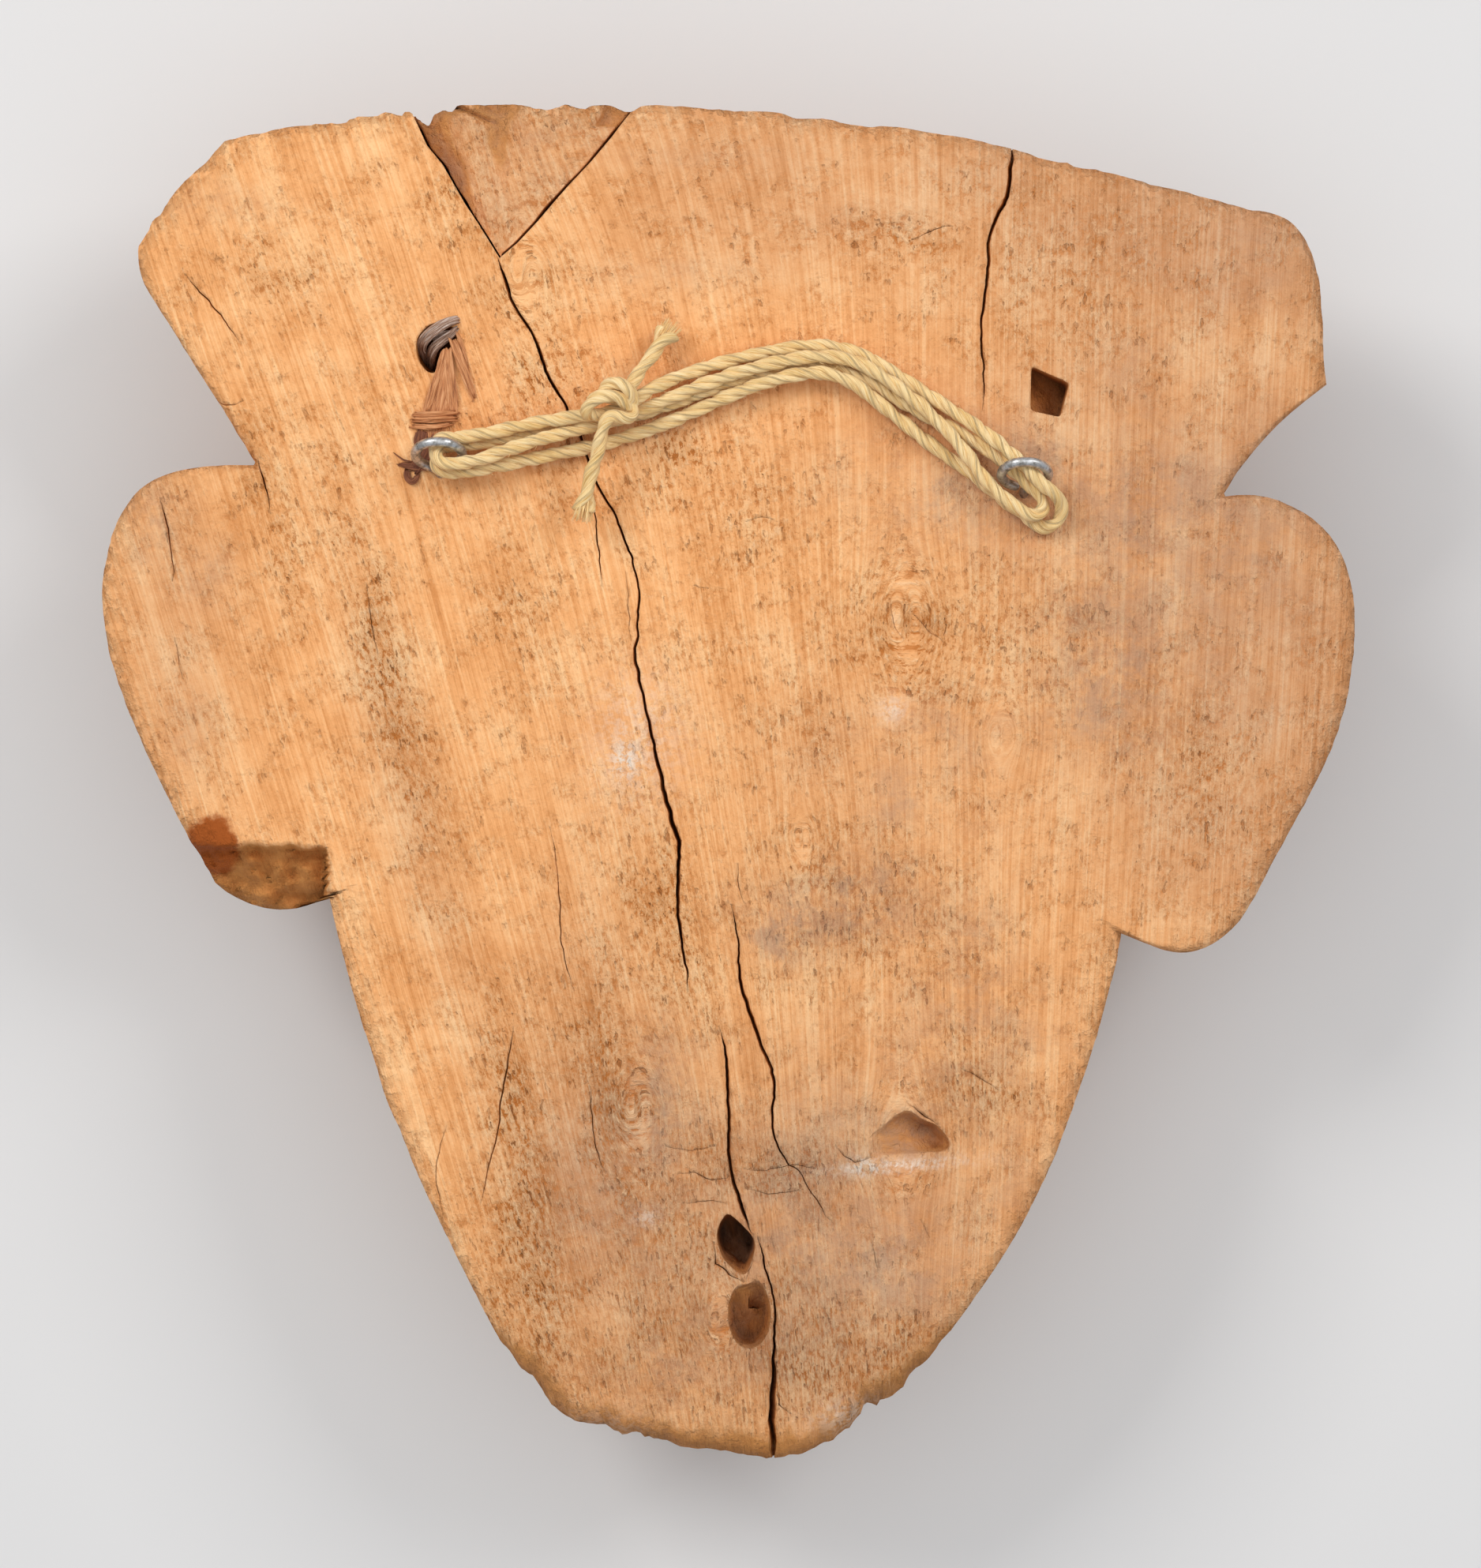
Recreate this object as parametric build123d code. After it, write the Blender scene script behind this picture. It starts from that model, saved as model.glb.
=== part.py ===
from build123d import *
import math
import os

# A carved wooden mask lying face down. +Z points out of its flat back, +Y towards the crown,
# and +X to the right of someone who looks at the back. The origin is under the middle of the
# mask, on the surface that the brow band and the nose tip rest on. All sizes are millimetres.

# --- overall sizes ---
mask_width = 276.8        # across the ear lobes
mask_height = 300.0       # chin to crown
mask_depth = 68.0         # nose tip to flat back
rim_thickness = 22.0      # the flat plate that crown, ears and jaw are cut from

# --- the relief on the face side, each height counted from the flat back ---
face_depth = 48.0         # forehead, cheeks
face_half_width = 75.0
face_half_height = 106.0
face_centre_y = -36.0
brow_depth = 54.0
eye_depth = 53.0
lip_depth = 54.0
chin_depth = 58.0
ear_ridge_depth = 32.0
feature_slope = 0.3       # how far the carved ovals' sides lean in for each millimetre of height
band_arc_y = 76.0         # the brow band's ends
band_rise = 22.0          # how far the band's middle stands above its ends
band_half_length = 98.0
band_width = 26.0
band_draft = 7.0

# --- holes in the back ---
left_hole = (-65.4, 95.8)
right_hole = (70.8, 85.9)
tie_hole_width = 8.8
tie_hole_height = 10.8
tie_hole_depth = 16.0
thong_hole_width = 9.8
thong_hole_height = 14.0
upper_thong_hole = (1.1, 47.2)    # x, and distance up from the chin
lower_thong_hole = (4.1, 31.2)
upper_thong_depth = 20.0
lower_thong_depth = 13.0
thong_tunnel_width = 6.0
branch_scar = (39.4, 70.7)        # x, and distance up from the chin
branch_scar_length = 17.0
branch_scar_width = 8.0
branch_scar_depth = 5.0

# --- the split wedge in the crown ---
wedge_left_x = -66.0      # where its two sides leave the crown's edge
wedge_right_x = -23.3
wedge_tip = (-48.5, 32.0)         # x, and distance down from the crown
wedge_depth = 16.0
wedge_gap = 0.5

# --- the screw eyes ---
eye_wire = 2.2
eye_outer = 12.5
eye_lean = 30.0           # degrees towards the crown, pulled over by the cord
eye_neck = 0.8            # between the ring and the wood
shank_length = 14.0
shank_core = 1.8
thread_pitch = 1.4
shank_clearance = 0.05
left_eye_foot = (-63.7, 68.3)
right_eye_foot = (64.9, 63.9)

# --- the bark tie ---
bark = 0.9                # thickness of a strip
bark_gap = 0.1            # between a strip and the wood
loop_strip_width = 4.6
hole_strip_inset = 2.6    # the loop comes up inside the hole's left edge

# --- the cord ---
cord = 3.0
swing_axis_y = 69.6       # the line between the two rings, which the cord's arch swings about
swing_axis_z = 74.1
split_left = -52.7        # the arch parts from the bights at these two planes
split_right = 55.5
split_gap = 2.4           # wide enough for the tubes' slanting ends to pass each other
knot_centre = (-25.6, 82.4, 77.8)
knot_radii = (6.2, 5.0, 3.4)

half_width = mask_width / 2
half_height = mask_height / 2
back = mask_depth
plate_front = back - rim_thickness


def edge_point(across, up):
    """A point of the outline: across and up run from -1 to 1 over the mask's width and height."""
    return (across * half_width, up * half_height)


def stretch(*points):
    """One smooth stretch of the outline."""
    return Spline(*[edge_point(*p) for p in points])


def outline():
    """The mask's edge, clockwise from the left shoulder of the crown."""
    crown = stretch((-0.809, 0.944), (-0.62, 0.981), (-0.31, 1.0), (0.04, 0.99), (0.31, 0.96),
                    (0.59, 0.903), (0.84, 0.842))
    right_shoulder = stretch((0.84, 0.842), (0.915, 0.808), (0.945, 0.72), (0.953, 0.585))
    right_notch = stretch((0.953, 0.585), (0.872, 0.525), (0.785, 0.417))
    right_ear = stretch((0.785, 0.417), (0.9, 0.404), (0.968, 0.35), (1.0, 0.23), (0.983, 0.105),
                        (0.93, -0.014), (0.866, -0.122), (0.809, -0.21), (0.732, -0.25),
                        (0.675, -0.241), (0.629, -0.215))
    right_jaw = stretch((0.629, -0.215), (0.609, -0.3), (0.557, -0.459), (0.474, -0.64),
                        (0.361, -0.8), (0.215, -0.957), (0.05, -1.0))
    left_jaw = stretch((0.05, -1.0), (-0.116, -0.983), (-0.272, -0.932), (-0.385, -0.79),
                       (-0.462, -0.646), (-0.548, -0.465), (-0.602, -0.304), (-0.64, -0.169))
    left_lobe = stretch((-0.64, -0.169), (-0.76, -0.186), (-0.831, -0.15))
    left_ear = stretch((-0.831, -0.15), (-0.901, -0.013), (-0.961, 0.106), (-1.0, 0.245),
                       (-0.987, 0.365), (-0.945, 0.427), (-0.857, 0.46), (-0.753, 0.465))
    left_notch = stretch((-0.753, 0.465), (-0.838, 0.593), (-0.935, 0.737))
    left_shoulder = stretch((-0.935, 0.737), (-0.928, 0.83), (-0.867, 0.89), (-0.809, 0.944))
    wire = Wire([crown, right_shoulder, right_notch, right_ear, right_jaw, left_jaw, left_lobe,
                 left_ear, left_notch, left_shoulder])
    return Face(wire)


def plate(depth):
    """The outline cut to a depth below the flat back."""
    return extrude(Pos(0, 0, back - depth) * outline(), amount=depth, dir=(0, 0, 1))


def boss(x, y, half_length, half_height, start, end, slope=feature_slope):
    """A carved oval that stands out between two depths, with sloping sides."""
    narrower = (end - start) * slope
    base = Pos(x, y, back - start) * Ellipse(half_length, half_height)
    top = Pos(x, y, back - end) * Ellipse(half_length - narrower, half_height - narrower)
    return loft([base, top], ruled=True)


def face_dome():
    """The face: three ovals, each smaller than the one behind it, lofted into a dome."""
    sections = []
    for share, depth in ((1.0, rim_thickness - 1.0), (0.94, rim_thickness + 14.0), (0.76, face_depth)):
        oval = Ellipse(face_half_width * share, face_half_height * share)
        sections.append(Pos(0, face_centre_y, back - depth) * oval)
    return loft(sections)


def brow_band():
    """The arched band across the brow, which carries the crown and touches the ground."""
    outer = band_width / 2
    ends_y, middle_y = band_arc_y, band_arc_y + band_rise
    upper = ThreePointArc((-band_half_length, ends_y + outer), (0, middle_y + outer),
                          (band_half_length, ends_y + outer))
    lower = ThreePointArc((band_half_length, ends_y - outer), (0, middle_y - outer),
                          (-band_half_length, ends_y - outer))
    sides = [Line(upper @ 1, lower @ 0), Line(lower @ 1, upper @ 0)]
    shape = Pos(0, 0, plate_front + 1.0) * Face(Wire([upper, sides[0], lower, sides[1]]))
    return extrude(shape, amount=plate_front + 1.0, dir=(0, 0, -1), taper=band_draft)


def nose():
    """A straight wedge of a nose: narrow between the brows, widest and deepest at its tip."""
    sections = []
    for y, half, depth in ((-4.0, 6.0, face_depth + 2.0), (-64.0, 13.0, mask_depth),
                           (-78.0, 15.0, face_depth + 4.0)):
        bottom, top = back - depth, back - face_depth + 6.0
        corners = [(-half - 3, top), (half + 3, top), (half * 0.5, bottom), (-half * 0.5, bottom)]
        sections.append(Plane((0, y, 0), x_dir=(1, 0, 0), z_dir=(0, -1, 0)) * make_face(Polyline(*corners, close=True)))
    return loft(sections, ruled=True)


def face_features():
    """Brows, closed eyes, lips and chin, on even thirds of the face, and the two ear ridges."""
    made = [nose()]
    for side in (-1, 1):
        made.append(boss(side * 33, -4, 23, 5, face_depth - 3, brow_depth))
        made.append(boss(side * 33, -19, 17, 8, face_depth - 3, eye_depth))
        ridge = boss(side * 109, 16, 19, 40, rim_thickness - 1, ear_ridge_depth)
        hollow = Pos(side * 109, 16, back - ear_ridge_depth - 1) * Ellipse(11, 31)
        made.append(ridge - extrude(hollow, amount=ear_ridge_depth - rim_thickness + 0.5, dir=(0, 0, 1)))
    made.append(boss(0, -97, 24, 5, face_depth - 2, lip_depth))
    made.append(boss(0, -108, 20, 5, face_depth - 2, lip_depth))
    made.append(boss(0, -129, 24, 13, face_depth - 20, chin_depth))
    return made


def tie_hole(place):
    """A square chiselled hole with its depth into the back."""
    cutter = Box(tie_hole_width, tie_hole_height, tie_hole_depth + 2, align=(Align.CENTER, Align.CENTER, Align.MIN))
    return Pos(place[0], place[1], back - tie_hole_depth) * cutter


def oval_hole(place, width, height, depth):
    """An oval pocket, placed by its distance up from the chin."""
    oval = Pos(place[0], place[1] - half_height, back - depth) * Ellipse(width / 2, height / 2)
    return extrude(oval, amount=depth + 2, dir=(0, 0, 1))


def thong_tunnel():
    """The passage under the bridge, which joins the two chin holes."""
    length = upper_thong_hole[1] - lower_thong_hole[1]
    middle_y = (upper_thong_hole[1] + lower_thong_hole[1]) / 2 - half_height
    middle_x = (upper_thong_hole[0] + lower_thong_hole[0]) / 2
    height = lower_thong_depth - thong_tunnel_width / 2
    return Pos(middle_x, middle_y, back - height) * Rot(90, 0, 0) * Cylinder(thong_tunnel_width / 2, length)


def wedge_prism(gap):
    """The V that the crown's wedge stands in, or the wedge itself when a gap is taken off its sides."""
    top_y = half_height + 5.0
    tip_y = half_height - wedge_tip[1]
    corners = [(wedge_left_x, half_height), (wedge_tip[0], tip_y), (wedge_right_x, half_height)]
    rise = top_y - half_height
    left_slope = (wedge_left_x - wedge_tip[0]) / (half_height - tip_y)
    right_slope = (wedge_right_x - wedge_tip[0]) / (half_height - tip_y)
    corners[0] = (wedge_left_x + rise * left_slope, top_y)
    corners[2] = (wedge_right_x + rise * right_slope, top_y)
    shape = make_face(Polyline(*corners, close=True))
    if gap:
        shape = offset(shape, amount=-gap, kind=Kind.INTERSECTION)
    return extrude(Pos(0, 0, back - wedge_depth) * shape, amount=wedge_depth + 2, dir=(0, 0, 1))


def eye_plane(foot):
    """The screw eye's own plane: its local Z runs up the shank, out of the wood, leaning to the crown."""
    lean = math.radians(eye_lean)
    return Plane((foot[0], foot[1], back), x_dir=(1, 0, 0), z_dir=(0, math.sin(lean), math.cos(lean)))


def shank_hole(foot):
    """The hole that a screw eye's thread has cut for itself."""
    radius = eye_wire / 2 + shank_clearance
    bore = Cylinder(radius, shank_length + 3, align=(Align.CENTER, Align.CENTER, Align.MAX))
    return eye_plane(foot) * Pos(0, 0, 2) * bore


def screw_eye(foot):
    """Bent wire: a ring that closes against its own neck, and a pointed shank with screw ridges."""
    wire = eye_wire / 2
    ring_radius = eye_outer / 2 - wire
    centre_height = eye_outer / 2 + eye_neck
    ring = Pos(0, 0, centre_height) * Rot(90, 0, 0) * Torus(ring_radius, wire)
    neck = Cylinder(wire, eye_neck + wire, align=(Align.CENTER, Align.CENTER, Align.MIN))
    ridges = [(0.0, 0.0), (wire, 0.0)]
    turns = int((shank_length - 3.0) / thread_pitch)
    for turn in range(turns):
        top = -turn * thread_pitch
        ridges.append((wire, top - thread_pitch * 0.25))
        ridges.append((shank_core / 2, top - thread_pitch * 0.5))
        ridges.append((shank_core / 2, top - thread_pitch * 0.75))
        ridges.append((wire, top - thread_pitch))
    ridges.append((0.0, -shank_length))
    profile = make_face(Plane.XZ * Polyline(*ridges, close=True))
    shank = revolve(profile, Axis.Z)
    return eye_plane(foot) * (ring + neck + shank)


# --- bark tie -------------------------------------------------------------------------------------
# The loop comes up out of the left hole and folds over its rim; three strips hang from it down the
# back, a band is wound round two of them, and the last end is trapped beside the left screw eye.
strip_z = back + bark_gap


def flat_strip(points, half_widths, z):
    """A flat strip of bark on the back, through a line of points, with its own width at each one."""
    left, right = [], []
    for i, (x, y) in enumerate(points):
        before, after = points[max(i - 1, 0)], points[min(i + 1, len(points) - 1)]
        along = Vector(after[0] - before[0], after[1] - before[1]).normalized()
        left.append((x - along.Y * half_widths[i], y + along.X * half_widths[i]))
        right.append((x + along.Y * half_widths[i], y - along.X * half_widths[i]))
    shape = make_face(Polyline(*left, *reversed(right), close=True))
    return extrude(Pos(0, 0, z) * shape, amount=bark, dir=(0, 0, 1))


def bark_loop():
    """The folded strip that comes up inside the hole's left edge and bends over to the right."""
    start_x = left_hole[0] - tie_hole_width / 2 + hole_strip_inset
    rim = strip_z + 2 * bark + 1.0
    path = FilletPolyline((start_x, left_hole[1], back - tie_hole_depth + 2), (start_x, left_hole[1], rim),
                          (start_x + 8.5, left_hole[1] + 5.0, rim), radius=2.4)
    section = Plane(path @ 0, x_dir=(0, 1, 0), z_dir=path % 0) * Rectangle(loop_strip_width, bark)
    return sweep(section, path)


def bark_pieces():
    """Every piece of the tie, by name."""
    x, y = left_hole
    band_y = y - 16.2
    second = strip_z + bark + bark_gap
    band = Pos(x + 0.9, band_y, second) * Box(9.8, 3.6, bark, align=(Align.CENTER, Align.CENTER, Align.MIN))
    return {
        "bark_tie_loop": bark_loop(),
        "bark_tie_wide_strip": flat_strip([(x + 2.6, y - 2.4), (x + 1.0, y - 9.0), (x - 0.9, y - 18.0), (x - 1.4, y - 21.5)],
                                          [1.4, 2.2, 2.6, 2.4], strip_z),
        "bark_tie_narrow_strip": flat_strip([(x + 5.2, y - 1.6), (x + 5.0, y - 9.0), (x + 4.8, y - 17.8)],
                                            [1.0, 1.2, 1.0], strip_z),
        "bark_tie_side_strip": flat_strip([(x + 7.2, y + 1.2), (x + 8.6, y - 5.0), (x + 10.6, y - 11.0)],
                                          [0.9, 1.1, 0.8], strip_z),
        "bark_tie_band": band,
        "bark_tie_foot": flat_strip([(x - 7.0, y - 26.2), (x - 3.6, y - 26.8), (x - 0.6, y - 26.9)],
                                    [0.7, 1.0, 0.8], strip_z),
    }


# --- cord -----------------------------------------------------------------------------------------
# One length of cord: from the upper tail's tip into the knot, along strand 1 to the left ring, round
# it, along strand 2 to the right ring, round it, back along strand 3, round the left ring again,
# along strand 4, round the right ring, back to the knot, and out as the lower tail.
upper_tail = [(-13.0, 98.6, 71.2), (-16.0, 94.6, 73.0), (-20.2, 89.6, 76.4), (-22.6, 86.4, 77.4)]
strand_1 = [(-30.6, 80.8, 76.3), (-34.6, 79.9, 74.3), (-41.5, 79.0, 72.9), (-48.0, 77.6, 73.0), (-52.7, 76.4, 73.6)]
left_bight_1 = [(-52.7, 76.4, 73.6), (-58.5, 75.5, 74.0), (-64.3, 75.5, 74.0), (-64.3, 69.7, 77.3),
                (-58.5, 69.6, 77.2), (-52.7, 71.2, 76.2)]
strand_2 = [(-52.7, 71.2, 76.2), (-46.0, 73.8, 74.6), (-38.9, 76.0, 72.9), (-31.5, 77.9, 72.8), (-25.0, 79.6, 72.8),
            (-18.0, 82.0, 72.8), (-10.5, 85.3, 72.8), (0.0, 89.4, 72.4), (10.5, 92.2, 72.4), (19.8, 93.7, 72.4),
            (27.6, 92.6, 72.4), (34.4, 88.6, 72.7), (41.0, 83.6, 72.9), (46.8, 78.2, 73.1), (51.4, 73.0, 73.7),
            (55.5, 67.0, 74.2)]
right_bight_1 = [(55.5, 67.0, 74.2), (59.4, 62.9, 73.9), (67.0, 57.5, 72.8), (70.0, 61.2, 72.6), (63.6, 67.4, 73.1),
                 (59.8, 70.6, 71.8), (55.5, 73.9, 70.9)]
strand_3 = [(55.5, 73.9, 70.9), (50.6, 76.8, 70.1), (44.4, 79.9, 69.7), (38.0, 83.6, 69.6), (32.6, 87.1, 69.6),
            (26.6, 90.1, 69.6), (19.2, 92.0, 69.6), (9.8, 90.5, 69.6), (-1.1, 87.6, 69.6), (-12.0, 83.4, 69.6),
            (-20.5, 80.6, 69.6), (-30.5, 78.8, 69.6), (-38.9, 77.7, 69.7), (-46.6, 76.0, 70.2), (-52.7, 74.8, 70.6)]
left_bight_2 = [(-52.7, 74.8, 70.6), (-58.5, 73.9, 70.9), (-64.3, 73.9, 70.9), (-64.3, 68.1, 74.2),
                (-58.5, 67.9, 73.9), (-52.7, 69.0, 73.0)]
strand_4 = [(-52.7, 69.0, 73.0), (-46.0, 70.4, 71.3), (-38.9, 72.0, 70.2), (-31.0, 73.6, 69.8), (-22.0, 76.0, 69.7),
            (-12.8, 79.2, 69.9), (-4.0, 83.1, 70.7), (3.6, 86.3, 71.8), (11.5, 88.8, 72.4), (19.6, 90.2, 72.4),
            (26.4, 88.2, 72.4), (31.0, 84.7, 71.5), (37.5, 79.6, 70.0), (44.4, 74.0, 69.7), (50.4, 69.9, 70.2),
            (55.5, 66.2, 70.9)]
right_bight_2 = [(55.5, 66.2, 70.9), (59.6, 62.5, 69.8), (64.6, 59.0, 69.6), (69.4, 55.2, 69.6), (73.2, 58.0, 70.8),
                 (72.8, 62.4, 73.8), (68.8, 64.8, 75.7), (65.8, 68.3, 76.1), (60.8, 72.9, 74.6), (55.5, 77.2, 72.9)]
strand_5 = [(55.5, 77.2, 72.9), (49.4, 81.4, 70.7), (42.0, 86.1, 69.8), (35.0, 90.7, 69.7), (28.0, 94.6, 69.7),
            (19.8, 96.3, 69.7), (9.8, 94.9, 69.7), (-1.1, 92.4, 70.0), (-10.6, 89.3, 71.2), (-16.6, 86.6, 73.6),
            (-21.0, 84.0, 76.4)]
lower_tail = [(-26.8, 77.6, 77.8), (-28.4, 73.0, 77.2), (-30.6, 66.4, 76.6), (-32.2, 58.6, 76.2)]


def bend_radius(run_in, run_out):
    """The largest arc that two runs leave room for, and its radius."""
    turn = math.radians(run_in.get_angle(run_out))
    return 0.45 * min(run_in.length, run_out.length) / math.tan(turn / 2)


def cord_tube(name, points):
    """A plain tube along straight runs joined by tangent arcs."""
    corners = [Vector(*p) for p in points]
    runs = [after - before for before, after in zip(corners, corners[1:])]
    radii = [bend_radius(a, b) for a, b in zip(runs, runs[1:])]
    path = FilletPolyline(*corners, radius=radii)
    section = Plane(path @ 0, z_dir=path % 0) * Circle(cord / 2)
    tube = sweep(section, path)
    wanted = math.pi * (cord / 2) ** 2 * path.length
    print(f"{name}: {path.length:.1f} mm long, smallest radius {min(radii):.1f}, volume {tube.volume / wanted:.3f}")
    return tube


def inset(points, gap_at_start, gap_at_end):
    """The same route, with half the split gap taken off the ends that meet a moving piece."""
    moved = [list(p) for p in points]
    for index, other, wanted in ((0, 1, gap_at_start), (-1, -2, gap_at_end)):
        if wanted:
            run = Vector(*points[other]) - Vector(*points[index])
            start = Vector(*points[index]) + run * (split_gap / 2 / abs(run.X))
            moved[index] = [start.X, start.Y, start.Z]
    return moved


def cord_pieces():
    """Every piece of the cord, by name: the arch and knot swing, the bights stay on the rings."""
    made = {
        "cord_upper_tail": cord_tube("cord_upper_tail", upper_tail),
        "cord_strand_1": cord_tube("cord_strand_1", inset(strand_1, False, True)),
        "cord_left_bight_1": cord_tube("cord_left_bight_1", inset(left_bight_1, True, True)),
        "cord_strand_2": cord_tube("cord_strand_2", inset(strand_2, True, True)),
        "cord_right_bight_1": cord_tube("cord_right_bight_1", inset(right_bight_1, True, True)),
        "cord_strand_3": cord_tube("cord_strand_3", inset(strand_3, True, True)),
        "cord_left_bight_2": cord_tube("cord_left_bight_2", inset(left_bight_2, True, True)),
        "cord_strand_4": cord_tube("cord_strand_4", inset(strand_4, True, True)),
        "cord_right_bight_2": cord_tube("cord_right_bight_2", inset(right_bight_2, True, True)),
        "cord_strand_5": cord_tube("cord_strand_5", inset(strand_5, True, False)),
        "cord_lower_tail": cord_tube("cord_lower_tail", lower_tail),
    }
    rx, ry, rz = knot_radii
    made["cord_knot"] = Pos(*knot_centre) * scale(Sphere(1), by=(rx, ry, rz))
    return made


def mask_body():
    """The block: plate, dome, band and features, with every hole, the wedge's V and the screw holes cut."""
    body = plate(rim_thickness) + face_dome() + brow_band()
    for feature in face_features():
        body += feature
    cutters = [tie_hole(left_hole), tie_hole(right_hole)]
    cutters.append(oval_hole(upper_thong_hole, thong_hole_width, thong_hole_height, upper_thong_depth))
    cutters.append(oval_hole(lower_thong_hole, thong_hole_width, thong_hole_height, lower_thong_depth))
    cutters.append(thong_tunnel())
    cutters.append(oval_hole(branch_scar, branch_scar_length, branch_scar_width, branch_scar_depth))
    cutters.append(wedge_prism(0))
    cutters.append(shank_hole(left_eye_foot))
    cutters.append(shank_hole(right_eye_foot))
    for cutter in cutters:
        body -= cutter
    return body


pieces = {
    "mask_body": mask_body(),
    "crown_wedge": wedge_prism(wedge_gap) & plate(rim_thickness),
    "left_screw_eye": screw_eye(left_eye_foot),
    "right_screw_eye": screw_eye(right_eye_foot),
}
pieces.update(bark_pieces())
pieces.update(cord_pieces())

os.makedirs("parts", exist_ok=True)
for name, piece in pieces.items():
    export_step(piece, f"parts/{name}.step")
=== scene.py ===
import math

import bmesh
import bpy
import numpy as np
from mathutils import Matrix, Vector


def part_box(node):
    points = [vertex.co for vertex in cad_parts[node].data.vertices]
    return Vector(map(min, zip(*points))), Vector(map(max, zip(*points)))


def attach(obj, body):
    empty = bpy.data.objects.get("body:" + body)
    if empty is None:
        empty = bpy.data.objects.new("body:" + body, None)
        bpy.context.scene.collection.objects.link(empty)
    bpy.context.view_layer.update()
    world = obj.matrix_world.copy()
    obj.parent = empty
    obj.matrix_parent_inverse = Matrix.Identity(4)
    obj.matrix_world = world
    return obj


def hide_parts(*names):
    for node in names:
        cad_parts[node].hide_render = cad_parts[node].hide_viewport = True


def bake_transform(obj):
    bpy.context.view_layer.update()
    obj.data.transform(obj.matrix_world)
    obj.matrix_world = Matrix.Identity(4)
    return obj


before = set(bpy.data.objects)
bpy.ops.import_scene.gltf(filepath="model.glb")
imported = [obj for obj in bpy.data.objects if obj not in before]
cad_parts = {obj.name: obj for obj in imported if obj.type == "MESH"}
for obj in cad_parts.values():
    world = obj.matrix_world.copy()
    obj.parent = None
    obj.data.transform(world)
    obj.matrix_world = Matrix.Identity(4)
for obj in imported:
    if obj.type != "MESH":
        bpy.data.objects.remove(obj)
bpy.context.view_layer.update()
back_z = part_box("mask_body")[1].z

# --- Camera and room ------------------------------------------------------------------------------
# The mask lies face down on a pale table top and is seen from straight above, with its crown at the
# top. Two window lamps stand beyond the crown, a broad one overhead, and the pale room fills in the rest.
picture_width, picture_height = 0.3263, 0.3454
camera_height = 1.5
lens = bpy.data.cameras.new("overhead_camera")
lens.sensor_width = 36.0
lens.lens = 36.0 * camera_height / picture_height
camera = bpy.data.objects.new("overhead_camera", lens)
camera.location = (0.0025, -0.0005, back_z + camera_height)
bpy.context.scene.collection.objects.link(camera)
bpy.context.scene.camera = camera
bpy.context.scene.view_settings.view_transform = "Standard"


def lamp(name, place, size, strength, tint):
    """A square soft lamp that shines at the frame's origin, under the mask."""
    light = bpy.data.lights.new(name, "AREA")
    light.size = size
    light.energy = strength
    light.color = tint
    holder = bpy.data.objects.new(name, light)
    holder.location = place
    holder.rotation_mode = "QUATERNION"
    holder.rotation_quaternion = (-holder.location).to_track_quat("-Z", "Y")
    bpy.context.scene.collection.objects.link(holder)


lamp("left_window", (-1.18, 1.02, 1.60), 0.80, 20.0, (1.0, 0.985, 0.96))
lamp("right_window", (1.30, 0.90, 1.64), 0.86, 15.5, (1.0, 0.985, 0.97))
lamp("ceiling", (0.0, -0.05, 1.9), 2.4, 13.0, (1.0, 1.0, 1.0))
room = bpy.data.worlds.new("pale_room")
room.use_nodes = True
room.node_tree.nodes["Background"].inputs["Color"].default_value = (0.95, 0.97, 1.0, 1.0)
room.node_tree.nodes["Background"].inputs["Strength"].default_value = 0.42
bpy.context.scene.world = room


def new_material(name, roughness):
    """A plain material: its node tree, its shader node, and itself."""
    made = bpy.data.materials.new(name)
    made.use_nodes = True
    shader = made.node_tree.nodes["Principled BSDF"]
    shader.inputs["Roughness"].default_value = roughness
    return made, made.node_tree, shader


def wire_up(tree, kind, settings=None, **inputs):
    """One shader node: settings are its own options, and each input is a number, a colour or a socket.
    An input named in and a number is the socket of that number."""
    node = tree.nodes.new(kind)
    for key, value in (settings or {}).items():
        setattr(node, key, value)
    for key, value in inputs.items():
        name = key.replace("_", " ")
        numbered = name.startswith("in") and name[2:].isdigit()
        socket = node.inputs[int(name[2:])] if numbered else node.inputs[name]
        if isinstance(value, bpy.types.NodeSocket):
            tree.links.new(value, socket)
        else:
            socket.default_value = value
    return node


def ramp(tree, value, *stops):
    """The colour that a value has on a scale of stops, each a place and its red, green and blue."""
    node = wire_up(tree, "ShaderNodeValToRGB", Fac=value)
    scale = node.color_ramp.elements
    for element, (place, *colour) in zip(scale, (stops[0], stops[-1])):
        element.position, element.color = place, (*colour, 1)
    for place, *colour in stops[1:-1]:
        scale.new(place).color = (*colour, 1)
    return node.outputs["Color"]


def add_piece(name, points, faces, materials, smooth=True):
    """A mesh piece from arrays of points and faces, linked into the scene."""
    mesh = bpy.data.meshes.new(name)
    mesh.from_pydata(points.tolist(), [], faces.tolist() if hasattr(faces, "tolist") else faces)
    for one in materials:
        mesh.materials.append(one)
    mesh.polygons.foreach_set("use_smooth", np.full(len(mesh.polygons), smooth))
    piece = bpy.data.objects.new(name, mesh)
    bpy.context.scene.collection.objects.link(piece)
    return piece


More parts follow.
